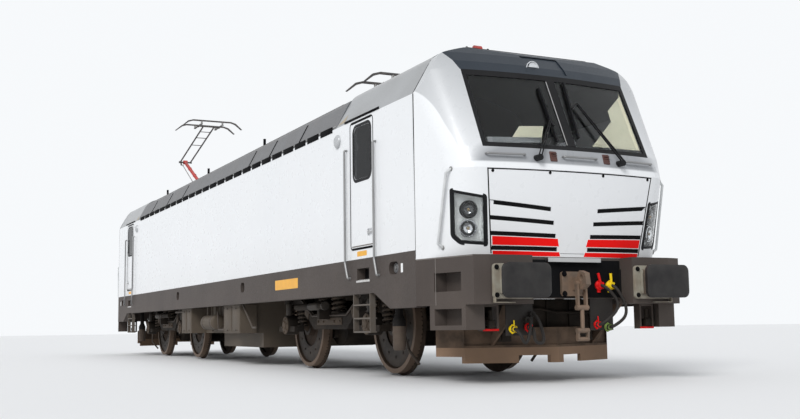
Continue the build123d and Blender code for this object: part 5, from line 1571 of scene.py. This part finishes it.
@dataclass
class Pantographs:
    """Arm bands, cross ties, bellows and head springs of the two pantographs."""

    pivot_height: float = 3.998
    lower_arm: float = 1.900
    upper_arm: float = 2.250
    settings: tuple[tuple[str, float, int, float, float], ...] = (
        ("front", 5.200, 1, 2.5, 0.8), ("rear", -5.950, -1, 26.5, 13.6))

    def build(self) -> None:
        """Builds the small pieces of both pantographs."""
        for name, station, turn, lower, upper in self.settings:
            self.one(name, station, turn, lower, upper)

    def one(self, name: str, station: float, turn: int, lower: float, upper: float) -> None:
        """Builds the small pieces of one pantograph.

        Args:
            name: front or rear.
            station: Its pivot's place along the locomotive.
            turn: 1 where its knee points ahead, -1 where it points back.
            lower: Angle of the lower arm in degrees.
            upper: Angle of the upper arm in degrees.
        """
        low, high = radians(lower), radians(upper)
        rise = self.lower_arm * sin(low)
        knee = (self.lower_arm * cos(low), self.pivot_height + rise)
        top = (knee[0] - self.upper_arm * cos(high), knee[1] + self.upper_arm * sin(high))

        def at(u: float, across: float, z: float) -> Point:
            """A point of the side view in the locomotive's frame."""
            return (station + turn * u, turn * across, z)

        arm, knee_caps, bellows, head = (Shape() for _ in range(4))
        for side in (-1, 1):
            arm.lathe(at(0, side * 0.052, self.pivot_height), (0, turn * side, 0),
                      [(0.058, -0.002), (0.058, 0.010), (0.03, 0.014), (0, 0.014)], 20)
        for step in (0.18, 0.45, 0.72):
            arm.lathe(at(knee[0] * step, 0, self.pivot_height + rise * step), (turn * cos(low), 0, sin(low)),
                      [(0.041, -0.02), (0.047, -0.015), (0.047, 0.015), (0.041, 0.02)], 20)
        arm.pipe([at(0.15, 0.052, self.pivot_height + 0.15 * sin(low) + 0.02),
                  at(knee[0] * 0.9, 0.052, self.pivot_height + rise * 0.9 + 0.02)], 0.007, 8)
        for side in (-1, 1):
            knee_caps.lathe(at(knee[0], side * 0.155, knee[1]), (0, turn * side, 0),
                            [(0.030, -0.006), (0.030, 0.004), (0.018, 0.010), (0, 0.010)], 18)
        for share in (0.5, 0.7, 0.86):
            u, z = knee[0] + (top[0] - knee[0]) * share, knee[1] + (top[1] - knee[1]) * share
            knee_caps.rod(at(u, -0.13, z), at(u, 0.13, z), 0.009, 10)
        profile = [(0, 0), (0.05, 0), (0.05, 0.012)]
        for ring in range(5):
            profile += [(0.085, 0.020 + ring * 0.034), (0.085, 0.036 + ring * 0.034),
                        (0.06, 0.046 + ring * 0.034)]
        bellows.lathe(at(-0.48, 0.18, self.pivot_height - 0.055), (turn, 0, 0),
                      profile + [(0.05, 0.19), (0, 0.19)], 24)
        bellows.block(at(-0.50, 0.18, self.pivot_height - 0.095), (0.05, 0.12, 0.05), 0.006)
        bellows.rod(at(-0.30, 0.18, self.pivot_height - 0.055), at(-0.06, 0.18, self.pivot_height - 0.045),
                    0.012, 10)
        for across in (-0.248, 0.248):
            for end in (-1, 1):
                head.lathe(at(top[0] + end * 0.300, across, top[1] + 0.012), UP,
                           [(0.022, 0), (0.022, 0.05), (0.016, 0.056), (0, 0.056)], 16)
                head.block(at(top[0] + end * 0.300, across, top[1] - 0.004), (0.05, 0.05, 0.02), 0.004)
        arm.finish(f"pantograph_arm_bands_{name}", f"pantograph_lower_arm_{name}", ARM_RED, "arm_red")
        knee_caps.finish(f"pantograph_cross_ties_{name}", f"pantograph_upper_arm_{name}", ARM_GREY,
                         "arm_grey")
        bellows.finish(f"pantograph_lift_bellows_{name}", "body", BLACK, "arm_grey")
        head.finish(f"pantograph_head_springs_{name}", f"pantograph_head_{name}", GALVANISED, "arm_grey")


@dataclass
class RunningGear:
    """Springs, axlebox covers, damper sleeves, pipes, wheel treads and brake discs of the two bogies."""

    centres: tuple[tuple[str, float], ...] = (("front", 4.750), ("rear", -4.750))
    axle: float = 1.500
    axle_height: float = 0.653
    spring_side: float = 1.003
    spring_reach: float = 0.245

    def build(self) -> None:
        """Builds both bogies' pieces and the wheels'."""
        for name, centre in self.centres:
            self.springs(name, centre)
            self.boxes(name, centre)
            self.pipes(name, centre)
            for place, shift in (("outer", self.axle), ("inner", -self.axle)):
                self.wheels(f"{name}_{place}", centre + (shift if name == "front" else -shift))

    def springs(self, name: str, centre: float) -> None:
        """Coil springs in place of the plain ones.

        Args:
            name: front or rear.
            centre: The bogie's middle.
        """
        coils, seats = Shape(), Shape()
        for side in (-1, 1):
            for axle in (-self.axle, self.axle):
                for reach in (-self.spring_reach, self.spring_reach):
                    foot = (centre + axle + reach, side * self.spring_side, 0.638)
                    coils.coil(foot, 0.064, 0.017, 0.330, 5.0)
                    self.seat(seats, foot, (0.655, 0.951, 0.968), (0.081, 0.036), 20)
            for reach in (-0.23, 0.23):
                foot = (centre + reach, side * 1.035, 0.808)
                coils.coil(foot, 0.083, 0.021, 0.365, 5.0)
                self.seat(seats, foot, (0.83, 1.150, 1.173), (0.104, 0.045), 22)
        coil = coils.finish(f"bogie_coils_{name}", f"bogie_{name}", SPRING, "frame_grey")
        seats.finish(f"bogie_spring_seats_{name}", f"bogie_{name}", GEAR_GREY, "frame_grey")
        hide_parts(f"bogie_springs_{name}")

    def seat(self, seats: Shape, foot: Point, heights: Point, radii: Pair, segments: int) -> None:
        """Both seats and the guide of one spring.

        Args:
            seats: Where they are added.
            foot: The spring's foot.
            heights: The lower seat's top, and the upper seat's foot and top.
            radii: Radius of the seats and of the guide.
            segments: Sides of the seats.
        """
        x, y, _ = foot
        low, high, top = heights
        seats.rod(foot, (x, y, low), radii[0], segments)
        seats.rod((x, y, high), (x, y, top), radii[0], segments)
        seats.rod(foot, (x, y, top), radii[1], 14)

    def boxes(self, name: str, centre: float) -> None:
        """Axlebox covers, damper sleeves and beam fittings.

        Args:
            name: front or rear.
            centre: The bogie's middle.
        """
        covers, sleeves = Shape(), Shape()
        for side in (-1, 1):
            out = (0, side, 0)
            for axle in (-self.axle, self.axle):
                x = centre + axle
                covers.lathe((x, side * 1.190, self.axle_height), out,
                             [(0.130, -0.01), (0.130, 0.008), (0.110, 0.014), (0.060, 0.014), (0.052, 0.030),
                              (0.020, 0.034), (0, 0.034)], 32)
                covers.bolts([(x + 0.095 * cos(a), side * 1.202, self.axle_height + 0.095 * sin(a))
                              for a in (0.3, 1.35, 2.4, 3.45, 4.5, 5.55)], out, 0.012, 0.014)
                sleeves.lathe((x, side * 1.130, 0.80), UP,
                              [(0.040, 0), (0.046, 0.01), (0.046, 0.16), (0.041, 0.17)], 20)
            sleeves.lathe((centre - 0.30, side * 1.250, 0.908), AHEAD,
                          [(0.045, 0), (0.055, 0.01), (0.055, 0.34), (0.046, 0.36)], 22)
            sleeves.lathe((centre + 0.23, side * 1.250, 0.908), AHEAD,
                          [(0.045, 0), (0.06, 0.004), (0.06, 0.03), (0.03, 0.034), (0, 0.034)], 20)
            covers.block((centre, side * 1.086, above_rail(0.67)), (0.9, 0.012, 0.10), 0.004)
            covers.bolts([(centre + x, side * 1.092, above_rail(0.67)) for x in (-0.4, -0.2, 0.2, 0.4)], out,
                         0.014, 0.016)
            for along in (-1, 1):
                covers.block((centre + along * 0.86, side * 1.085, above_rail(0.80)), (0.16, 0.012, 0.13),
                             0.004, tilted(-27 * along))
        covers.finish(f"axlebox_covers_{name}", f"bogie_{name}", BOX_COVER, "frame_grey")
        sleeves.finish(f"damper_sleeves_{name}", f"bogie_{name}", DAMPER, "frame_grey")

    def pipes(self, name: str, centre: float) -> None:
        """Air pipes along the bogie's beams, and sand pipes at its outer wheels.

        Args:
            name: front or rear.
            centre: The bogie's middle.
        """
        pipes = Shape()
        outer = 1 if centre > 0 else -1
        for side in (-1, 1):
            pipes.pipe([(centre + x, side * 1.094, above_rail(z)) for x, z in (
                (-1.75, 1.035), (-1.16, 1.035), (-0.62, 0.75), (0.62, 0.75), (1.16, 1.035),
                (1.75, 1.035))], 0.012, 8)
            pipes.pipe([(centre + outer * x, side * y, above_rail(z)) for x, y, z in (
                (1.83, 1.0, 0.95), (1.90, 0.98, 0.86), (2.18, 0.94, 0.30), (2.17, 0.80, 0.13))], 0.018, 10)
        pipes.finish(f"bogie_pipes_{name}", f"bogie_{name}", PIPE_GREY, "frame_grey")

    def wheels(self, name: str, station: float) -> None:
        """Polished treads, brake discs and hubs of one wheelset.

        Args:
            name: The wheelset's name.
            station: The axle's place.
        """
        tread, discs = Shape(), Shape()
        for side in (-1, 1):
            foot = (station, 0, self.axle_height)
            out = (0, side, 0)
            tread.lathe(foot, out, [(0.6262, 0.7215), (0.6225, 0.8135), (0.6205, 0.8157), (0.566, 0.8157)],
                        72)
            discs.lathe(foot, out, [
                (0.545, 0.766), (0.545, 0.786), (0.530, 0.790), (0.330, 0.790), (0.315, 0.786),
                (0.315, 0.766)], 64)
            discs.bolts([(station + 0.42 * cos(a), side * 0.790, self.axle_height + 0.42 * sin(a))
                         for a in (k * pi / 6 for k in range(12))], out, 0.014, 0.010)
            discs.lathe(foot, out, [(0.150, 0.828), (0.150, 0.836), (0.10, 0.84)], 32)
        tread.finish(f"wheel_treads_{name}", f"wheelset_{name}", TREAD, "wheel_steel")
        discs.finish(f"brake_discs_{name}", f"wheelset_{name}", DISC, "wheel_steel")


@dataclass
class UnderFloor:
    """Tank straps and ends, box lids, tub ribs, pipes and sand holders below the floor."""

    def build(self) -> None:
        """Builds the pieces below the floor."""
        straps, ends, lids, latches, pipes, sand, ribs = (Shape() for _ in range(7))
        for station in (-0.65, -0.15):
            straps.lathe((station - 0.025, -1.290, 0.733), AHEAD,
                         [(0.136, 0), (0.140, 0.002), (0.140, 0.048), (0.136, 0.05)], 32)
        for station, along in ((-0.050, 1), (-0.750, -1)):
            ends.lathe((station, -1.290, 0.733), (along, 0, 0),
                       [(0.134, 0.0), (0.124, 0.012), (0.09, 0.022), (0.03, 0.027), (0, 0.027)], 32)
        ends.lathe((-0.40, -1.290, 0.598), (0, 0, -1), [(0.016, -0.004), (0.016, 0.03), (0, 0.03)], 12)
        for middle, length in ((-1.775, 0.770), (1.225, 0.950)):
            place = on_side(middle, above_rail(0.745), 1.420)
            half = length / 2
            for share in (-0.5, 0.5):
                low, high = (share - 0.5) * half + 0.02, (share + 0.5) * half - 0.02
                lids.band(rectangle(low, -0.215, high, 0.215), place, 0.012, 0.006, 0.015)
                lids.plate(rectangle(low + 0.018, -0.195, high - 0.018, 0.195), place, 0.004, 0.002, 0.01)
                for height in (0.92, 0.56):
                    latches.block((middle + (low + high) / 2, -1.430, above_rail(height)),
                                  (0.05, 0.014, 0.02), 0.004)
        for index in range(17):
            ribs.block((-1.5 + index * 0.1875, -1.143, above_rail(0.9)), (0.02, 0.02, 0.62), 0.004)
        pipes.pipe([(-2.9, -1.36, 0.96), (-2.3, -1.36, 0.96)], 0.02, 10)
        pipes.pipe([(0.15, -1.36, 0.93), (0.15, -1.34, 0.60), (0.60, -1.34, 0.60)], 0.016, 8)
        pipes.pipe([(x, -1.40, above_rail(z)) for x, z in ((1.78, 0.97), (2.30, 0.60), (2.48, 0.60))],
                   0.016, 8)
        for side in (-1, 1):
            sand.lathe((7.10, side * 1.150, above_rail(0.31)), UP,
                       [(0, 0), (0.062, 0), (0.078, 0.03), (0.078, 0.35), (0.055, 0.40), (0.045, 0.42),
                        (0.045, 0.99), (0, 0.99)], 28)
            sand.lathe((7.10, side * 1.150, above_rail(0.50)), UP,
                       [(0.079, 0), (0.083, 0.004), (0.083, 0.03), (0.079, 0.034)], 28)
        finish_all((
            (straps, "tank_straps", PIPE_GREY, "box_grey"), (ends, "tank_ends", BOX_GREY, "box_grey"),
            (lids, "box_lids", BOX_GREY, "box_grey"), (latches, "box_latches", PIPE_GREY, "box_grey"),
            (pipes, "floor_pipes", PIPE_GREY, "box_grey"), (ribs, "tub_ribs", BOX_GREY, "box_grey"),
            (sand, "sand_holders", SAND_GREY, "plough_brown")))


@dataclass
class Cabs:
    """Desk panels and controls, blinds and seats behind the windscreen."""

    blind: tuple[Pair, ...] = (
        (1.000, 0.430), (0.985, 0.372), (0.748, 0.155), (0.736, 0.0), (0.346, -0.373), (1.000, -0.379))
    hood: tuple[Pair, ...] = ((-0.684, -0.338), (-0.314, -0.341), (-0.228, -0.148), (-0.548, -0.176))
    shelf: tuple[Pair, ...] = ((-1.000, -0.425), (-0.325, -0.375), (-0.303, -0.306), (-1.000, -0.351))
    middle: Point = (8.864, 0.0, 2.928)

    def build(self) -> None:
        """Builds the pieces inside the cabs."""
        behind = facing((0.92, 0, 0.436), LEFT, self.middle)
        behind = Matrix.Translation(behind.to_3x3() @ Vector((0, 0, -0.085))) @ behind
        blinds, hood, shelf, desk, seat = (Shape() for _ in range(5))
        blinds.plate(reversed(self.blind), behind, 0.004)
        hood.plate(self.hood, behind, 0.006)
        hood.block((8.60, -0.44, above_rail(2.33)), (0.03, 0.30, 0.30), 0.01)
        shelf.plate(self.shelf, behind, 0.006)
        shelf.block((8.66, -0.66, above_rail(2.32)), (0.03, 0.62, 0.24), 0.01)
        for across in (-0.72, -0.36, 0.36, 0.72):
            desk.block((8.435, across, above_rail(2.222)), (0.20, 0.28, 0.02), 0.006, tilted(-10))
        for across in (-0.2, 0.0, 0.2):
            desk.rod((8.30, across, above_rail(2.19)), (8.29, across, above_rail(2.27)), 0.012, 12)
            desk.lathe((8.29, across, above_rail(2.27)), UP,
                       [(0.012, 0), (0.024, 0.012), (0.02, 0.03), (0, 0.036)], 16)
        for side in (-1, 1):
            seat.block((7.50, side * 0.285, above_rail(2.07)), (0.34, 0.05, 0.035), 0.014)
            seat.rod((7.36, side * 0.285, above_rail(1.80)), (7.36, side * 0.285, above_rail(2.06)), 0.014,
                     12)
        seat.lathe((7.55, 0, 1.328), UP, [
            (0, 0), (0.17, 0), (0.17, 0.012), (0.09, 0.03), (0.06, 0.05), (0.06, 0.24), (0.045, 0.245),
            (0.045, 0.40), (0.15, 0.415), (0.15, 0.43), (0, 0.43)], 28)
        seat.block((7.31, 0, 1.84), (0.03, 0.30, 0.26), 0.01, tilted(-8))
        finish_all((
            (blinds, "windscreen_blinds", BLIND, "inner_grey"), (hood, "desk_hoods", BLIND, "desk_grey"),
            (shelf, "desk_shelves", DESK_SHELF, "desk_grey"), (desk, "desk_controls", SHADE, "desk_grey"),
            (seat, "seat_frames", SHADE, "seat_cloth")))
        self.cushions()

    def cushions(self) -> None:
        """Builds the seats' cushions in place of the plain seats."""
        upright = Matrix.Translation((7.315, 0, 2.20)) @ tilted(-8) @ Matrix.Rotation(pi / 2, 4, "Y")
        for name, place, size in (("seat_cushions", Matrix.Translation((7.555, 0, 1.812)),
                                   (0.48, 0.50, 0.11)),
                                  ("seat_backs", upright, (0.70, 0.48, 0.105))):
            cushion = Shape()
            cushion.cushion(size, (-0.36, 0.36))
            cushion.move(place)
            piece, = finish_all([(cushion, name, CLOTH, "seat_cloth")])
            if name == "seat_cushions":
                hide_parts("driver_seats")


@dataclass
class Studio:
    """Floor, light and camera."""

    lens: float = 46.19
    eye: Point = (18.053, -6.473, 0.627)
    heading: float = 26.05
    pitch: float = 6.45
    roll: float = -0.80
    sun: float = 2.0
    sun_softness: float = 25.0
    sun_from: Point = (0.55, -0.62, 0.62)
    ambient: float = 0.62
    sky: Colour = (0.93, 0.96, 1.0)
    backdrop: Colour = (0.93, 0.95, 0.97)
    floor_colour: Colour = (0.82, 0.82, 0.82)
    floor_roughness: float = 0.9
    floor_size: float = 120.0
    sensor: float = 36.0
    view_limit: float = 500.0

    def floor(self) -> None:
        """A plain pale floor that takes the shadow."""
        bm = bmesh.new()
        bmesh.ops.create_grid(bm, x_segments=1, y_segments=1, size=self.floor_size)
        mesh = bpy.data.meshes.new("floor")
        bm.to_mesh(mesh)
        bm.free()
        piece = add_object("floor", mesh)
        nodes = Nodes("pale_floor")
        nodes.shade({"Base Color": (*self.floor_colour, 1), "Roughness": self.floor_roughness})
        mesh.materials.append(nodes.material)

    def light(self) -> None:
        """One soft key light from ahead on the right side, and an even sky."""
        key = bpy.data.lights.new("key", "SUN")
        key.energy = self.sun
        key.angle = radians(self.sun_softness)
        lamp = add_object("key", key)
        lamp.matrix_world = Vector(self.sun_from).to_track_quat("Z", "Y").to_matrix().to_4x4()
        world = bpy.data.worlds.new("sky")
        bpy.context.scene.world = world
        world.use_nodes = True
        tree = world.node_tree
        tree.nodes.clear()
        rays = add_node(tree, "LightPath", {}).outputs
        more = add_node(tree, "Math", {0: rays["Is Glossy Ray"], 1: rays["Is Transmission Ray"]},
                        operation="MAXIMUM")
        seen = add_node(tree, "Math", {0: rays["Is Camera Ray"], 1: more.outputs["Value"]},
                        operation="MAXIMUM")
        soft = add_node(tree, "Background", {"Color": (*self.sky, 1), "Strength": self.ambient})
        bright = add_node(tree, "Background", {"Color": (*self.backdrop, 1), "Strength": 1.0})
        mix = add_node(tree, "MixShader", {"Fac": seen.outputs["Value"], 1: soft.outputs["Background"],
                                           2: bright.outputs["Background"]})
        add_node(tree, "OutputWorld", {"Surface": mix.outputs["Shader"]})
        bpy.context.scene.view_settings.view_transform = "Standard"

    def camera(self) -> None:
        """The camera at the photograph's place and angle."""
        turn, rise, lean = radians(self.heading), radians(self.pitch), radians(self.roll)
        ahead, across = Vector((-cos(turn), sin(turn), 0)), Vector((sin(turn), cos(turn), 0))
        upward = Vector(UP)
        forward = ahead * cos(rise) + upward * sin(rise)
        top = upward * cos(rise) - ahead * sin(rise)
        right = across * cos(lean) + top * sin(lean)
        above = top * cos(lean) - across * sin(lean)
        lens = bpy.data.cameras.new("view")
        lens.lens = self.lens
        lens.sensor_width = self.sensor
        lens.sensor_fit = "HORIZONTAL"
        lens.clip_end = self.view_limit
        eye = add_object("view", lens)
        turned = Matrix((right, above, -forward)).transposed().to_4x4()
        eye.matrix_world = Matrix.Translation(self.eye) @ turned
        bpy.context.scene.camera = eye

    def build(self) -> None:
        """Builds the floor, the lights and the camera."""
        self.floor()
        self.light()
        self.camera()


def main() -> None:
    """Builds every sub-assembly in order."""
    logging.basicConfig(level=logging.INFO, format="%(message)s")
    CadSkins().dress()
    for part in (Studio(), NoseFace(), Windscreen(), Headlamps(), BufferGear(), FrontPipes(), BrakeHoses(),
                 NoseSides(), BodySides(), Doors(), RoofLine(), RoofFittings(), Pantographs(), RunningGear(),
                 UnderFloor(), Cabs()):
        part.build()
        LOG.info("built %s", type(part).__name__)


if __name__ == "__main__":
    main()
